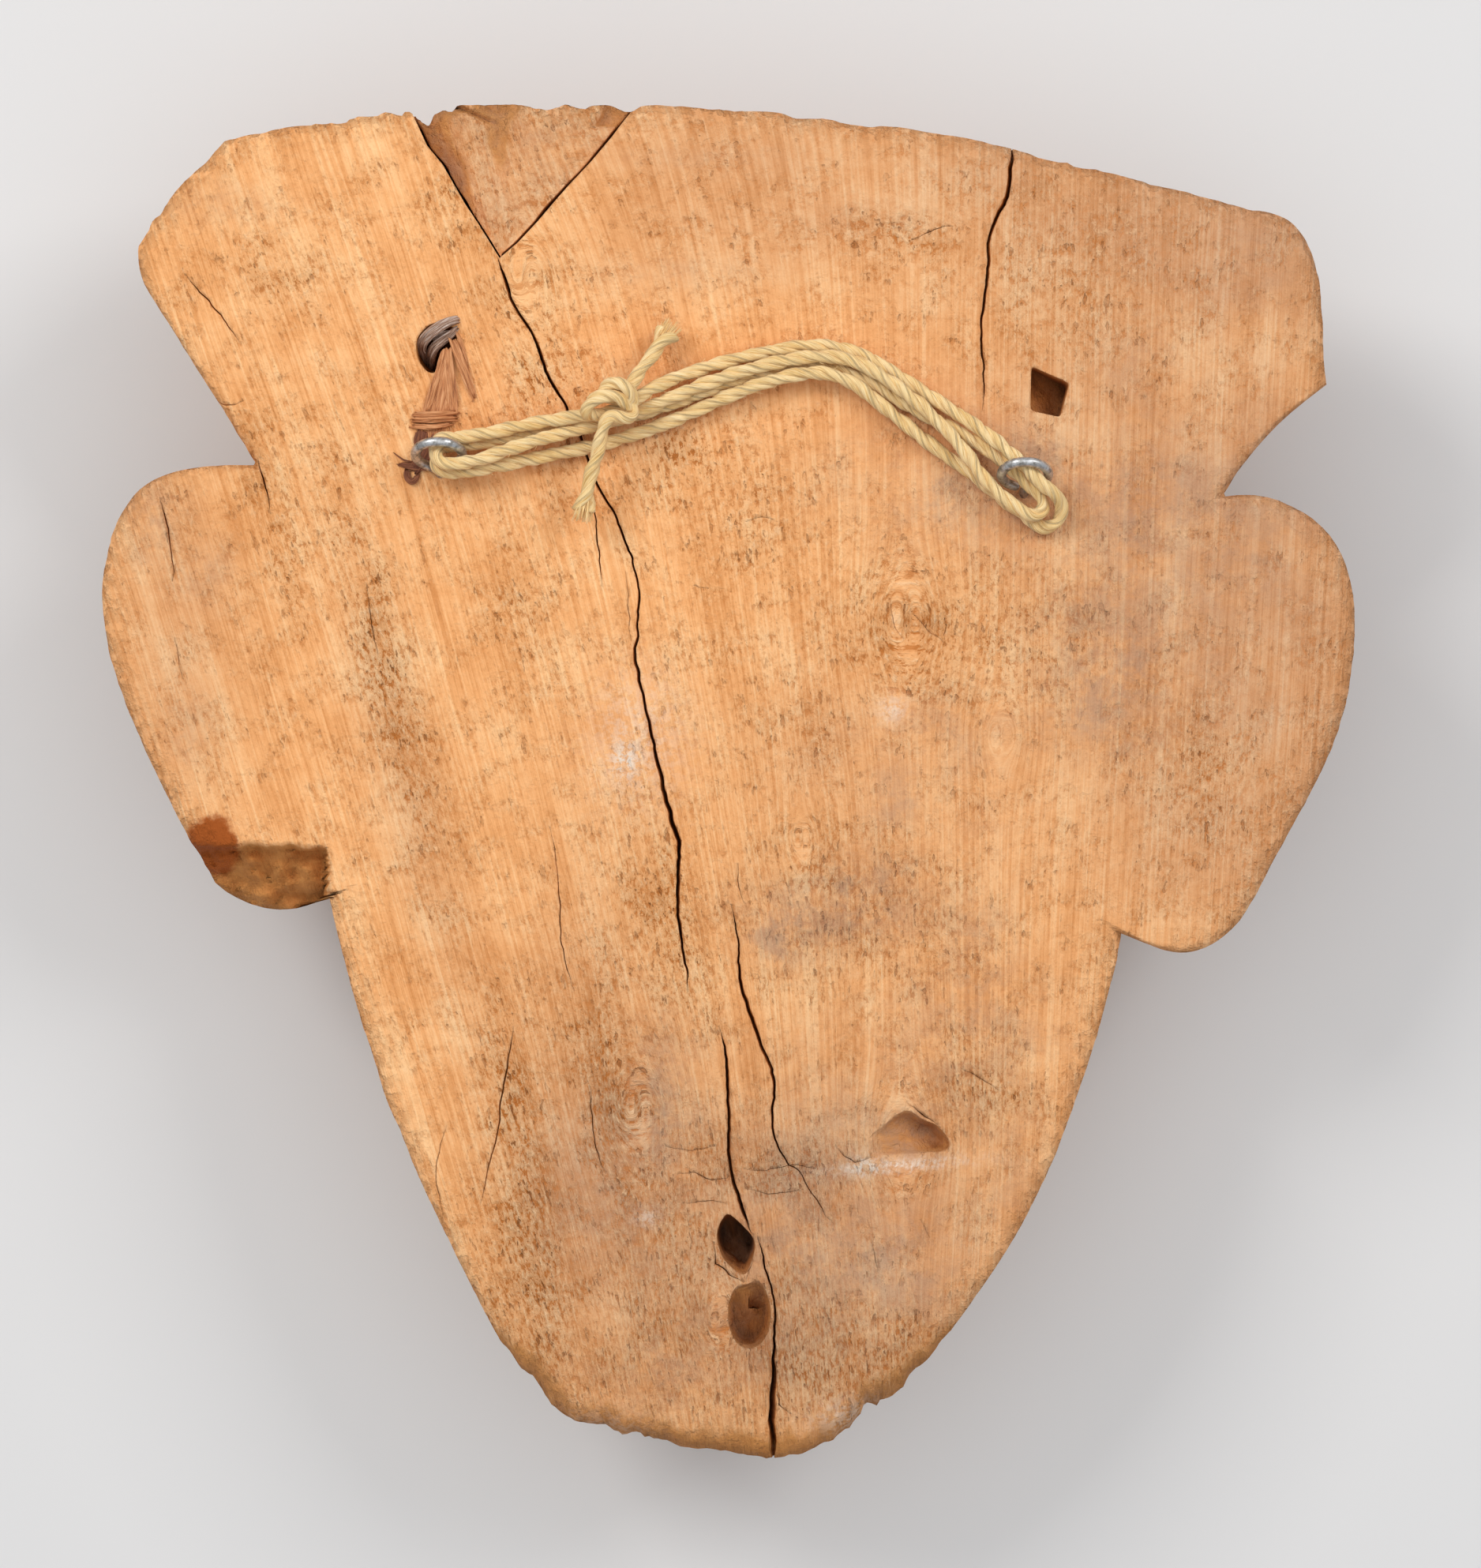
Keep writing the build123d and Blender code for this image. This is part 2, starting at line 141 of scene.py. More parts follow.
paper, tree, shader = new_material("pale_table_top", 0.85)
speck = wire_up(tree, "ShaderNodeTexNoise", Scale=3.0, Detail=2.0,
                Vector=wire_up(tree, "ShaderNodeTexCoord").outputs["Object"])
tone = ramp(tree, speck.outputs["Fac"], (0.0, 0.655, 0.65, 0.652), (1.0, 0.70, 0.70, 0.70))
tree.links.new(tone, shader.inputs["Base Color"])
corner = 3.0
floor = add_piece("table_top", corner * np.array([(-1, -1, 0), (1, -1, 0), (1, 1, 0), (-1, 1, 0)], float),
                  [(0, 1, 2, 3)], [paper], False)

# --- The cord -------------------------------------------------------------------------------------
# One length of two-ply natural twine, about 3 mm thick. It runs twice through both rings, lies on
# the back in an arch, and is tied beside the left ring, with its two cut ends left long and frayed.
upper_tail = [(-13.4, 98.9, 71.4), (-16.2, 94.6, 73.2), (-19.4, 90.2, 75.6)]
first_end_in_knot = [(-22.0, 86.2, 77.0), (-24.4, 84.0, 76.6), (-27.6, 84.6, 77.0), (-27.0, 87.0, 78.2),
                     (-24.0, 87.2, 79.2), (-21.2, 85.2, 79.0), (-21.2, 82.4, 77.4), (-24.0, 80.2, 75.4)]
strand_1 = [(-30.6, 80.6, 75.8), (-34.6, 79.9, 74.3), (-41.5, 79.0, 72.9), (-48.0, 77.6, 73.0),
            (-52.7, 76.4, 73.6)]
left_bight_1 = [(-58.5, 75.5, 74.0), (-64.3, 75.5, 74.0), (-64.3, 69.7, 77.3), (-58.5, 69.6, 77.2),
                (-52.7, 71.2, 76.2)]
strand_2 = [(-46.0, 73.8, 74.6), (-38.9, 76.0, 72.9), (-31.5, 77.9, 72.8), (-25.0, 79.6, 72.8), (-18.0, 82.0, 72.8),
            (-10.5, 85.3, 72.8), (0.0, 89.4, 72.4), (10.5, 92.2, 72.4), (19.8, 93.7, 72.4), (27.6, 92.6, 72.4),
            (34.4, 88.6, 72.7), (41.0, 83.6, 72.9), (46.8, 78.2, 73.1), (51.4, 73.0, 73.7), (55.5, 67.0, 74.2)]
right_bight_1 = [(59.4, 62.9, 73.9), (67.0, 57.5, 72.8), (70.0, 61.2, 72.6), (63.6, 67.4, 73.1), (59.8, 70.6, 71.8),
                 (55.5, 73.9, 70.9)]
strand_3 = [(50.6, 76.8, 70.1), (44.4, 79.9, 69.7), (38.0, 83.6, 69.6), (32.6, 87.1, 69.6), (26.6, 90.1, 69.6),
            (19.2, 92.0, 69.6), (9.8, 90.5, 69.6), (-1.1, 87.6, 69.6), (-12.0, 83.4, 69.6), (-20.5, 80.6, 69.6),
            (-30.5, 78.8, 69.6), (-38.9, 77.7, 69.7), (-46.6, 76.0, 70.2), (-52.7, 74.8, 70.6)]
left_bight_2 = [(-58.5, 73.9, 70.9), (-64.3, 73.9, 70.9), (-64.3, 68.1, 74.2), (-58.5, 67.9, 73.9),
                (-52.7, 69.0, 73.0)]
strand_4 = [(-46.0, 70.4, 71.3), (-38.9, 72.0, 70.2), (-31.0, 73.6, 69.8), (-22.0, 76.0, 69.7), (-12.8, 79.2, 69.9),
            (-4.0, 83.1, 70.7), (3.6, 86.3, 71.8), (11.5, 88.8, 72.4), (19.6, 90.2, 72.4), (26.4, 88.2, 72.4),
            (31.0, 84.7, 71.5), (37.5, 79.6, 70.0), (44.4, 74.0, 69.7), (50.4, 69.9, 70.2), (55.5, 66.2, 70.9)]
right_bight_2 = [(59.6, 62.5, 69.8), (64.6, 59.0, 69.6), (69.4, 55.2, 69.6), (73.2, 58.0, 70.8), (72.8, 62.4, 73.8),
                 (68.8, 64.8, 75.7), (65.8, 68.3, 76.1), (60.8, 72.9, 74.6), (55.5, 77.2, 72.9)]
strand_5 = [(49.4, 81.4, 70.7), (42.0, 86.1, 69.8), (35.0, 90.7, 69.7), (28.0, 94.6, 69.7), (19.8, 96.3, 69.7),
            (9.8, 94.9, 69.7), (-1.1, 92.4, 70.0), (-10.6, 89.3, 71.2), (-16.6, 86.6, 73.6)]
second_end_in_knot = [(-21.0, 83.6, 76.0), (-25.0, 81.4, 75.2), (-29.4, 79.9, 75.8), (-31.5, 81.0, 78.2),
                      (-29.6, 84.0, 79.6),
                      (-25.6, 84.6, 79.6), (-22.4, 83.2, 78.4), (-20.7, 80.9, 77.4), (-22.6, 79.1, 78.6),
                      (-26.0, 80.4, 79.2)]
lower_tail = [(-27.6, 77.6, 78.4), (-28.4, 73.0, 77.4), (-30.6, 66.4, 76.6), (-31.8, 59.2, 76.2)]
route = (upper_tail + first_end_in_knot + strand_1 + left_bight_1 + strand_2 + right_bight_1 + strand_3
         + left_bight_2 + strand_4 + right_bight_2 + strand_5 + second_end_in_knot + lower_tail)


def smooth_line(points, fineness):
    """The points of one NURBS line over control points: a piecewise parabola that the points pull on."""
    curve = bpy.data.curves.new("line", "CURVE")
    curve.dimensions = "3D"
    curve.resolution_u = fineness
    spline = curve.splines.new("NURBS")
    spline.points.add(len(points) - 1)
    spline.points.foreach_set("co", np.c_[points, np.ones(len(points))].ravel())
    spline.order_u = 3
    spline.use_endpoint_u = True
    holder = bpy.data.objects.new("line", curve)
    mesh = bpy.data.meshes.new_from_object(holder)
    line = np.empty(len(mesh.vertices) * 3)
    mesh.vertices.foreach_get("co", line)
    bpy.data.objects.remove(holder)
    return line.reshape(-1, 3)


def even_steps(line, step):
    """The same line with points at even distances along it, and the distance of each."""
    along = np.r_[0, np.cumsum(np.linalg.norm(np.diff(line, axis=0), axis=1))]
    wanted = np.linspace(0, along[-1], int(along[-1] / step) + 1)
    return np.stack([np.interp(wanted, along, line[:, k]) for k in range(3)], 1), wanted


def carried_frames(line):
    """Two unit directions across the line at each point, carried along it without twisting: each is the
    one before, less its share along the new tangent."""
    tangents = np.gradient(line, axis=0)
    tangents /= np.linalg.norm(tangents, axis=1, keepdims=True)
    across = np.empty_like(line)
    across[0] = np.cross(tangents[0], (0, 0, 1))
    across[0] /= np.linalg.norm(across[0])
    for i in range(1, len(line)):
        across[i] = across[i - 1] - tangents[i] * (across[i - 1] @ tangents[i])
        across[i] /= np.linalg.norm(across[i])
    return across, np.cross(tangents, across)


def ring_faces(rings, sides):
    """The squares between rings of as many points as there are sides."""
    i, j = np.meshgrid(np.arange(rings - 1), np.arange(sides), indexing="ij")
    nxt = (j + 1) % sides
    return np.stack([i * sides + j, i * sides + nxt, (i + 1) * sides + nxt, (i + 1) * sides + j], -1).reshape(-1, 4)


def tube(centres, across, other, radii, sides, squash=1.0):
    """A closed tube: circles of the given radii about a line of centres, capped by a point at each end.
    The points are (step, side), the last two are the caps. squash flattens it along its second direction."""
    turn = np.linspace(0, 2 * np.pi, sides, endpoint=False)
    radii = np.asarray(radii)
    radii = np.broadcast_to(radii if radii.ndim == 2 else radii.reshape(-1, 1), (len(centres), sides))
    ring = (centres[:, None] + radii[..., None] * (across[:, None] * np.cos(turn)[:, None]
            + squash * other[:, None] * np.sin(turn)[:, None]))
    steps = len(centres)
    points = np.r_[ring.reshape(-1, 3), centres[:1], centres[-1:]]
    j = np.arange(sides)
    nxt = (j + 1) % sides
    first = np.stack([np.full(sides, steps * sides), nxt, j], 1)
    last = np.stack([np.full(sides, steps * sides + 1), (steps - 1) * sides + j, (steps - 1) * sides + nxt], 1)
    return points, ring_faces(steps, sides).tolist() + first.tolist() + last.tolist()


def gather(parts):
    """Several (points, faces) put together into one."""
    points, faces, count = [], [], 0
    for p, f in parts:
        points.append(p)
        faces += [[v + count for v in face] for face in f]
        count += len(p)
    return np.concatenate(points), faces


cord_line, cord_along = even_steps(smooth_line(np.array(route) / 1000, 24), 0.00045)
side_a, side_b = carried_frames(cord_line)
cord_length = cord_along[-1]
chance = np.random.default_rng(7)
parts = []
uv_across, uv_along = [], []
twist_length = 0.0145
ply_radius = 0.00094
loosened = np.clip(1 - np.minimum(cord_along, cord_length - cord_along) / 0.006, 0, 1) ** 1.5
for ply in (0, 1):
    turn = 2 * np.pi * cord_along / twist_length + math.pi * ply
    wander = 1 + 0.06 * np.sin(cord_along * 390 + ply * 2.1) + 0.05 * np.sin(cord_along * 1130 + ply)
    reach = (ply_radius * 0.64 * wander * (1 + 1.5 * loosened))[:, None]
    centres = cord_line + reach * (side_a * np.cos(turn)[:, None] + side_b * np.sin(turn)[:, None])
    sides = 14
    bumps = (1 + 0.045 * np.sin(np.arange(sides) * 2 * np.pi / sides * 4 + cord_along[:, None] * 900 + ply)
             + 0.035 * np.sin(np.arange(sides) * 2 * np.pi / sides * 3 - cord_along[:, None] * 1700))
    radii = ply_radius * wander[:, None] * bumps * (1 + 0.6 * loosened[:, None])
    radii[0] *= 0.6
    radii[-1] *= 0.6
    inward = side_a * np.cos(turn)[:, None] + side_b * np.sin(turn)[:, None]
    sideways = -side_a * np.sin(turn)[:, None] + side_b * np.cos(turn)[:, None]
    parts.append(tube(centres, inward, sideways, radii, sides, 1.3))
    around = np.arange(sides) / sides
    uv_across.append(np.r_[np.tile(around, len(centres)), 0.5, 0.5] + ply)
    uv_along.append(np.r_[np.repeat(cord_along, sides), 0, cord_length])

# loose fibres: short hairs that leave the twine's surface, and a brush of them at each cut end
hairs = []
for start in np.r_[chance.uniform(0.004, cord_length - 0.004, 260), np.full(110, 0.0), np.full(110, cord_length)]:
    at_end = start in (0.0, cord_length)
    here = int(np.searchsorted(cord_along, start).clip(1, len(cord_line) - 2))
    facing = chance.uniform(0, 2 * np.pi)
    outward = side_a[here] * math.cos(facing) + side_b[here] * math.sin(facing)
    ahead = cord_line[here + 1] - cord_line[here - 1]
    ahead /= np.linalg.norm(ahead)
    if at_end:
        ahead = ahead if start else -ahead
        begin = cord_line[here] - ahead * 0.002 + outward * chance.uniform(0.0002, 0.0019)
        length = chance.uniform(0.0024, 0.0050)
        tip = begin + ahead * length + outward * chance.uniform(0.0, 0.0012)
        thick = 0.00011
    else:
        ahead = ahead * chance.choice((-1, 1))
        begin = cord_line[here] + outward * 0.00125
        length = chance.uniform(0.0008, 0.0026)
        tip = begin + ahead * length * 0.8 + outward * chance.uniform(0.0002, 0.0011)
        thick = chance.uniform(0.00003, 0.00006)
    if tip[2] < back_z + 0.0002:
        continue
    bend = (begin + tip) / 2 + chance.normal(0, 0.0001, 3)
    t = np.linspace(0, 1, 5)[:, None]
    line = begin * (1 - t) ** 2 + 2 * bend * t * (1 - t) + tip * t ** 2
    across, other = carried_frames(line)
    hairs.append(tube(line, across, other, thick * np.array([1, 1, 0.9, 0.8, 0.5]), 4))
    uv_across.append(np.full(len(hairs[-1][0]), chance.uniform(0, 2)))
    uv_along.append(np.full(len(hairs[-1][0]), start) + np.linspace(0, length, len(hairs[-1][0])))

fibre, tree, shader = new_material("natural_twine", 0.72)
lengthways = wire_up(tree, "ShaderNodeUVMap", {"uv_map": "fibres"})
fine = wire_up(tree, "ShaderNodeMapping", Vector=lengthways.outputs["UV"], Scale=(26.0, 170.0, 1.0))
strands = wire_up(tree, "ShaderNodeTexNoise", Vector=fine.outputs["Vector"], Scale=1.0, Detail=3.0, Roughness=0.65)
broad = wire_up(tree, "ShaderNodeMapping", Vector=lengthways.outputs["UV"], Scale=(2.0, 60.0, 1.0))
patches = wire_up(tree, "ShaderNodeTexNoise", Vector=broad.outputs["Vector"], Scale=1.0, Detail=2.0)
straw = ramp(tree, strands.outputs["Fac"], (0.30, 0.58, 0.33, 0.09), (0.44, 0.92, 0.64, 0.29),
             (0.62, 1.0, 0.80, 0.46))
faded = ramp(tree, patches.outputs["Fac"], (0.35, 0.88, 0.80, 0.64), (0.65, 1.0, 1.0, 1.0))
mixed = wire_up(tree, "ShaderNodeMix", {"data_type": "RGBA", "blend_type": "MULTIPLY"}, Factor=1.0,
                in6=straw, in7=faded)
tree.links.new(mixed.outputs[2], shader.inputs["Base Color"])
relief = wire_up(tree, "ShaderNodeBump", Strength=0.9, Distance=0.0004, Height=strands.outputs["Fac"])
tree.links.new(relief.outputs["Normal"], shader.inputs["Normal"])
shader.inputs["Sheen Weight"].default_value = 0.12
shader.inputs["Sheen Roughness"].default_value = 0.5


def add_uv(piece, name, across, along):
    """A UV map from one pair of numbers for each point of the mesh."""
    layer = piece.data.uv_layers.new(name=name)
    owner = np.empty(len(piece.data.loops), np.int32)
    piece.data.loops.foreach_get("vertex_index", owner)
    layer.data.foreach_set("uv", np.stack([across[owner], along[owner]], 1).ravel())


points, faces = gather(parts + hairs)
twine = add_piece("hanging_cord_twine", points, faces, [fibre])
add_uv(twine, "fibres", np.concatenate(uv_across), np.concatenate(uv_along))
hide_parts("cord_upper_tail", "cord_strand_1", "cord_left_bight_1", "cord_strand_2", "cord_right_bight_1",
            "cord_strand_3", "cord_left_bight_2", "cord_strand_4", "cord_right_bight_2", "cord_strand_5",
            "cord_lower_tail", "cord_knot")
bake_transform(twine)

# --- The mask's wood ------------------------------------------------------------------------------
# One rough-hewn plank of soft, pale wood, carved on the far side and left flat on this one. Its edge
# is chipped, its grain runs from crown to chin and closes in towards the chin, and it has split as
# it dried. The tie holes are chiselled, and the chin's two holes meet under a bridge.
middle = np.array((0.0011, 0.0157))


def lattice_noise(x, y, size, seed):
    """Smooth noise from 0 to 1: chance values on a square lattice of the given size, blended with
    3t^2 - 2t^3 between lattice points."""
    values = np.random.default_rng(seed).random((256, 256))
    u, v = np.asarray(x) / size + 100.3, np.asarray(y) / size + 100.7
    i, j = np.floor(u).astype(int), np.floor(v).astype(int)
    s, t = u - i, v - j
    s, t = s * s * (3 - 2 * s), t * t * (3 - 2 * t)
    i, j, k, m = i % 256, j % 256, (i + 1) % 256, (j + 1) % 256
    return (values[i, j] * (1 - s) + values[k, j] * s) * (1 - t) + (values[i, m] * (1 - s) + values[k, m] * s) * t


def layered_noise(x, y, size, seed, layers=3):
    """Noise from 0 to 1: each layer has half the size and half the weight of the one before."""
    total = sum(lattice_noise(x, y, size / 2 ** n, seed + n) / 2 ** n for n in range(layers))
    return total / (2 - 2 / 2 ** layers)


def rise(value, start, end):
    """0 before start, 1 after end, and 3t^2 - 2t^3 between them."""
    t = np.clip((value - start) / (end - start), 0, 1)
    return t * t * (3 - 2 * t)


def patch(x, y, at, across, along, lean=0.0):
    """A soft oval spot: exp of minus the squared distance, in half-widths across and along, leaning by
    lean metres across for each metre along."""
    dx, dy = x - at[0] / 1000, y - at[1] / 1000
    return np.exp(-((dx - lean * dy) * 1000 / across) ** 2 - (dy * 1000 / along) ** 2)


# the plank's edge, as a distance from its middle for each direction, read off the frame: the bounding
# edges of the flat faces of the back and of the rim's underside, and the outermost of them each way
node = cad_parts["mask_body"]
node.data.calc_loop_triangles()
solid = np.empty(len(node.data.vertices) * 3)
node.data.vertices.foreach_get("co", solid)
solid = solid.reshape(-1, 3)
corners = np.empty(len(node.data.loop_triangles) * 3, int)
node.data.loop_triangles.foreach_get("vertices", corners)
corners = corners.reshape(-1, 3)
rim_thickness = 0.022
rim_z = back_z - rim_thickness
directions = 1440  # round the outline, a quarter of a degree apart
edge_turn = np.linspace(-np.pi, np.pi, directions, endpoint=False)
edge_reach = np.zeros(directions)
for level in (back_z, rim_z):
    flat = corners[(np.abs(solid[corners, 2] - level) < 2e-5).all(1)]
    sides = np.sort(flat[:, ((0, 1), (1, 2), (2, 0))].reshape(-1, 2), axis=1)
    sides, uses = np.unique(sides, axis=0, return_counts=True)
    one, two = solid[sides[uses == 1].T, :2]
    for t in np.linspace(0, 1, 60):
        spot = one + (two - one) * t - middle
        slot = np.round((np.arctan2(spot[:, 1], spot[:, 0]) + np.pi) / (2 * np.pi) * directions).astype(int) % directions
        np.maximum.at(edge_reach, slot, np.hypot(spot[:, 0], spot[:, 1]))
edge_turn, edge_reach = edge_turn[edge_reach > 0], edge_reach[edge_reach > 0]


def edge_distance(angle):
    """How far the plank's edge is from its middle: the frame's, less chips that are deepest round the
    crown's top and the chin's end."""
    clean = np.interp(angle, edge_turn, edge_reach, period=2 * np.pi)
    x, y = middle[0] + clean * np.cos(angle), middle[1] + clean * np.sin(angle)
    gnawed = rise(-y, 0.118, 0.138)
    crown = rise(y, 0.118, 0.128)
    torn_crown = crown * rise(-x, 0.015, 0.025)
    chips = 0.0003 + 0.0004 * crown + 0.0005 * torn_crown + 0.0022 * gnawed
    slow = layered_noise(x, y, 0.016, 13)
    loss = chips * (0.2 + 2.6 * slow ** 2) * (layered_noise(x, y, 0.007, 11) + 0.9 * layered_noise(x, y, 0.0021, 17))
    nicks = ((-68.4, 2.6, 1.6), (-73.5, 1.3, 1.2), (-22.6, 1.9, 2.6), (-62.0, 0.9, 1.0), (15.0, 0.7, 3.0),
             (31.0, 0.9, 2.0))
    for at, depth, width in nicks:
        loss = loss + crown * depth / 1000 * np.exp(-((x * 1000 - at) / width) ** 2)
    return clean - loss


def soft_reach(angle):
    """The edge's distance from the middle, averaged over about 20 degrees, so that the plank's points away from
    its edge take no notice of its notches."""
    turns = np.linspace(-np.pi, np.pi, 720, endpoint=False)
    reach = np.interp(turns, edge_turn, edge_reach, period=2 * np.pi)
    weight = np.exp(-(np.arange(-30, 31) / 13) ** 2)
    padded = np.r_[reach[-30:], reach, reach[:30]]
    return np.interp(angle, turns, np.convolve(padded, weight / weight.sum(), "valid"), period=2 * np.pi)


def broken_end(x, y):
    """1 where the left lobe's lower end has broken away, which slopes down from the back, and 0 elsewhere."""
    ragged = 0.0024 * (layered_noise(x, y, 0.004, 29) - 0.5)
    return rise(-y + ragged, 0.0136, 0.0150) * rise(-x + ragged * 0.5, 0.0884, 0.0894)


def surface_drop(x, y, inset):
    """How far the hewn back lies below the frame's flat one, in metres: slow waves, a worn edge, the
    broken slope under the left lobe, and hollows round the knots."""
    mm_in = inset * 1000
    drop = 0.9 * layered_noise(x, y, 0.045, 3, 2) + 0.35 * layered_noise(x, y * 0.4, 0.011, 5)
    gnawed = rise(-y, 0.112, 0.135)
    rough = layered_noise(x, y, 0.006, 23)
    drop += (0.7 + 2.2 * rough) * np.exp(-(mm_in / 1.5) ** 1.3) + gnawed * (1 + 4.0 * rough) * np.exp(-mm_in / 3.0)
    crumbly = layered_noise(x, y, 0.0016, 25, 2)
    drop += (gnawed + 0.35 * rise(y, 0.10, 0.12)) * 1.6 * crumbly * np.exp(-mm_in / 3.0)
    drop += rise(y, 0.10, 0.12) * 1.6 * rough * np.exp(-mm_in / 2.6)
    broken = broken_end(x, y)
    drop += broken * (3.2 + 9 * rise(-y, 0.014, 0.029) + 6.0 * layered_noise(x, y, 0.006, 31) ** 1.5
                      + 8.0 * np.clip(layered_noise(x, y, 0.0030, 33) - 0.35, 0, 1))
    drop += 2.6 * rise(-x, 0.104, 0.118) * rise(-y, 0.006, 0.018) * layered_noise(x, y, 0.006, 37)
    drop += 0.8 * patch(x, y, (36, -78), 12, 6) + 1.6 * patch(x, y, (37, 37), 9, 12) * layered_noise(x, y, 0.005, 41)
    drop += 1.1 * patch(x, y, (43.5, 33), 5, 4, -0.7) + 0.7 * patch(x, y, (-13, 50), 2, 6, -0.4)
    drop += 0.55 * patch(x, y, (16, -12.5), 4, 3.5)
    drop += 0.3 * (1 + np.sin(y * 2 * np.pi / 0.0034 + 3 * x / 0.01)) * patch(x, y, (9, -85), 14, 5)
    sliver = -0.0478 - 0.12 * (y + 0.075) + 0.0016 * np.sin(y * 260)
    along_sliver = rise(y, -0.096, -0.088) * rise(-y, 0.050, 0.060)
    drop += along_sliver * 0.9 * rise(x - sliver, 0.0, 0.0012) * np.exp(-np.clip(x - sliver, 0, 1) / 0.006)
    drop += 0.8 * rise(-x, 0.126, 0.137) + 1.0 * rise(x, 0.127, 0.137)
    return drop / 1000


def disc_of_square(steps):
    """A square grid bent into a disc: the distance from the middle is the larger of |a| and |b|, and the
    direction runs evenly along each side of the square. Gives the distance and direction of each point."""
    a, b = np.meshgrid(np.linspace(-1, 1, steps + 1), np.linspace(-1, 1, steps + 1), indexing="ij")
    wide = np.abs(a) > np.abs(b)
    out = np.where(wide, a, b)
    ratio = np.where(wide, b, a) / np.where(out == 0, 1, out)
    angle = np.where(wide, np.pi / 4 * ratio, np.pi / 2 - np.pi / 4 * ratio)
    return np.abs(out), np.where(out < 0, angle + np.pi, angle)


def around_square(steps):
    """The numbers of the grid's edge points, counted anticlockwise from the corner at (-1, -1)."""
    n = np.arange(steps)
    width = steps + 1
    return np.concatenate([n * width, steps * width + n, (steps - n) * width + steps, steps - n])


def grid_faces(steps):
    """The squares of a grid, anticlockwise seen from above."""
    i, j = np.meshgrid(np.arange(steps), np.arange(steps), indexing="ij")
    a = (i * (steps + 1) + j).ravel()
    return np.stack([a, a + steps + 1, a + steps + 2, a + 1], 1)


def skirt_faces(rings):
    """Squares between rings of point numbers, each ring below the one before."""
    made = []
    for one, two in zip(rings, rings[1:]):
        made.append(np.stack([one, two, np.roll(two, -1), np.roll(one, -1)], 1))
    return np.concatenate(made)


steps = 256  # along each side of the square grid that both faces of the mask are bent from
share, angle = disc_of_square(steps)
far_edge = edge_distance(angle)
reach = share * (soft_reach(angle) + (far_edge - soft_reach(angle)) * share ** 6)
x, y = middle[0] + reach * np.cos(angle), middle[1] + reach * np.sin(angle)
inset = far_edge - reach
top = np.stack([x, y, back_z - surface_drop(x, y, inset)], -1).reshape(-1, 3)
ring = around_square(steps)
edge_line = top[ring]
edge_angle = np.arctan2(edge_line[:, 1] - middle[1], edge_line[:, 0] - middle[0])
edge_far = np.hypot(edge_line[:, 1] - middle[1], edge_line[:, 0] - middle[0])
outward = np.stack([np.cos(edge_angle), np.sin(edge_angle)], 1)
rings, stack, count = [ring], [top], len(top)
wall_rows = 9
travel = np.cumsum(np.hypot(*np.diff(edge_line[:, :2], axis=0, prepend=edge_line[:1, :2]).T))
for row in range(1, wall_rows + 1):
    down = row / wall_rows
    z = edge_line[:, 2] + (rim_z + 0.0006 - edge_line[:, 2]) * down
    dent = 0.0011 * layered_noise(travel, z * 0.35, 0.004, 51) + 0.0015 * down ** 3 - 0.0006
    dent = np.where(edge_line[:, 2] < back_z - 0.006, dent - 0.002 * np.sin(np.pi * down), dent)
    place = edge_line[:, :2] - outward * np.clip(dent, 0, 1)[:, None]
    stack.append(np.c_[place, z])
    rings.append(count + np.arange(len(ring)))
    count += len(ring)
for share_in in (0.985, 0.93, 0.80, 0.5):
    place = middle + outward * (edge_far * share_in - 0.0009)[:, None]
    stack.append(np.c_[place, rim_z + 0.0007 * layered_noise(place[:, 0], place[:, 1], 0.007, 61)])
    rings.append(count + np.arange(len(ring)))
    count += len(ring)
stack.append(np.array([[middle[0], middle[1], rim_z]]))
last = rings[-1]
fan = np.stack([last, np.full(len(last), count), np.roll(last, -1)], 1)
plank_points = np.concatenate(stack)
plank_faces = grid_faces(steps).tolist() + skirt_faces(rings).tolist() + fan.tolist()


def resampled(path, step, *along):
    """A path of millimetre points at even steps, in metres, and other values carried along with it."""
    path = np.array(path, float)
    run = np.r_[0, np.cumsum(np.linalg.norm(np.diff(path, axis=0), axis=1))]
    wanted = np.linspace(0, run[-1], max(4, int(run[-1] / step)))
    made = [np.stack([np.interp(wanted, run, path[:, k]) for k in (0, 1)], 1) / 1000]
    return made + [np.interp(wanted, run, values) for values in along] + [wanted]


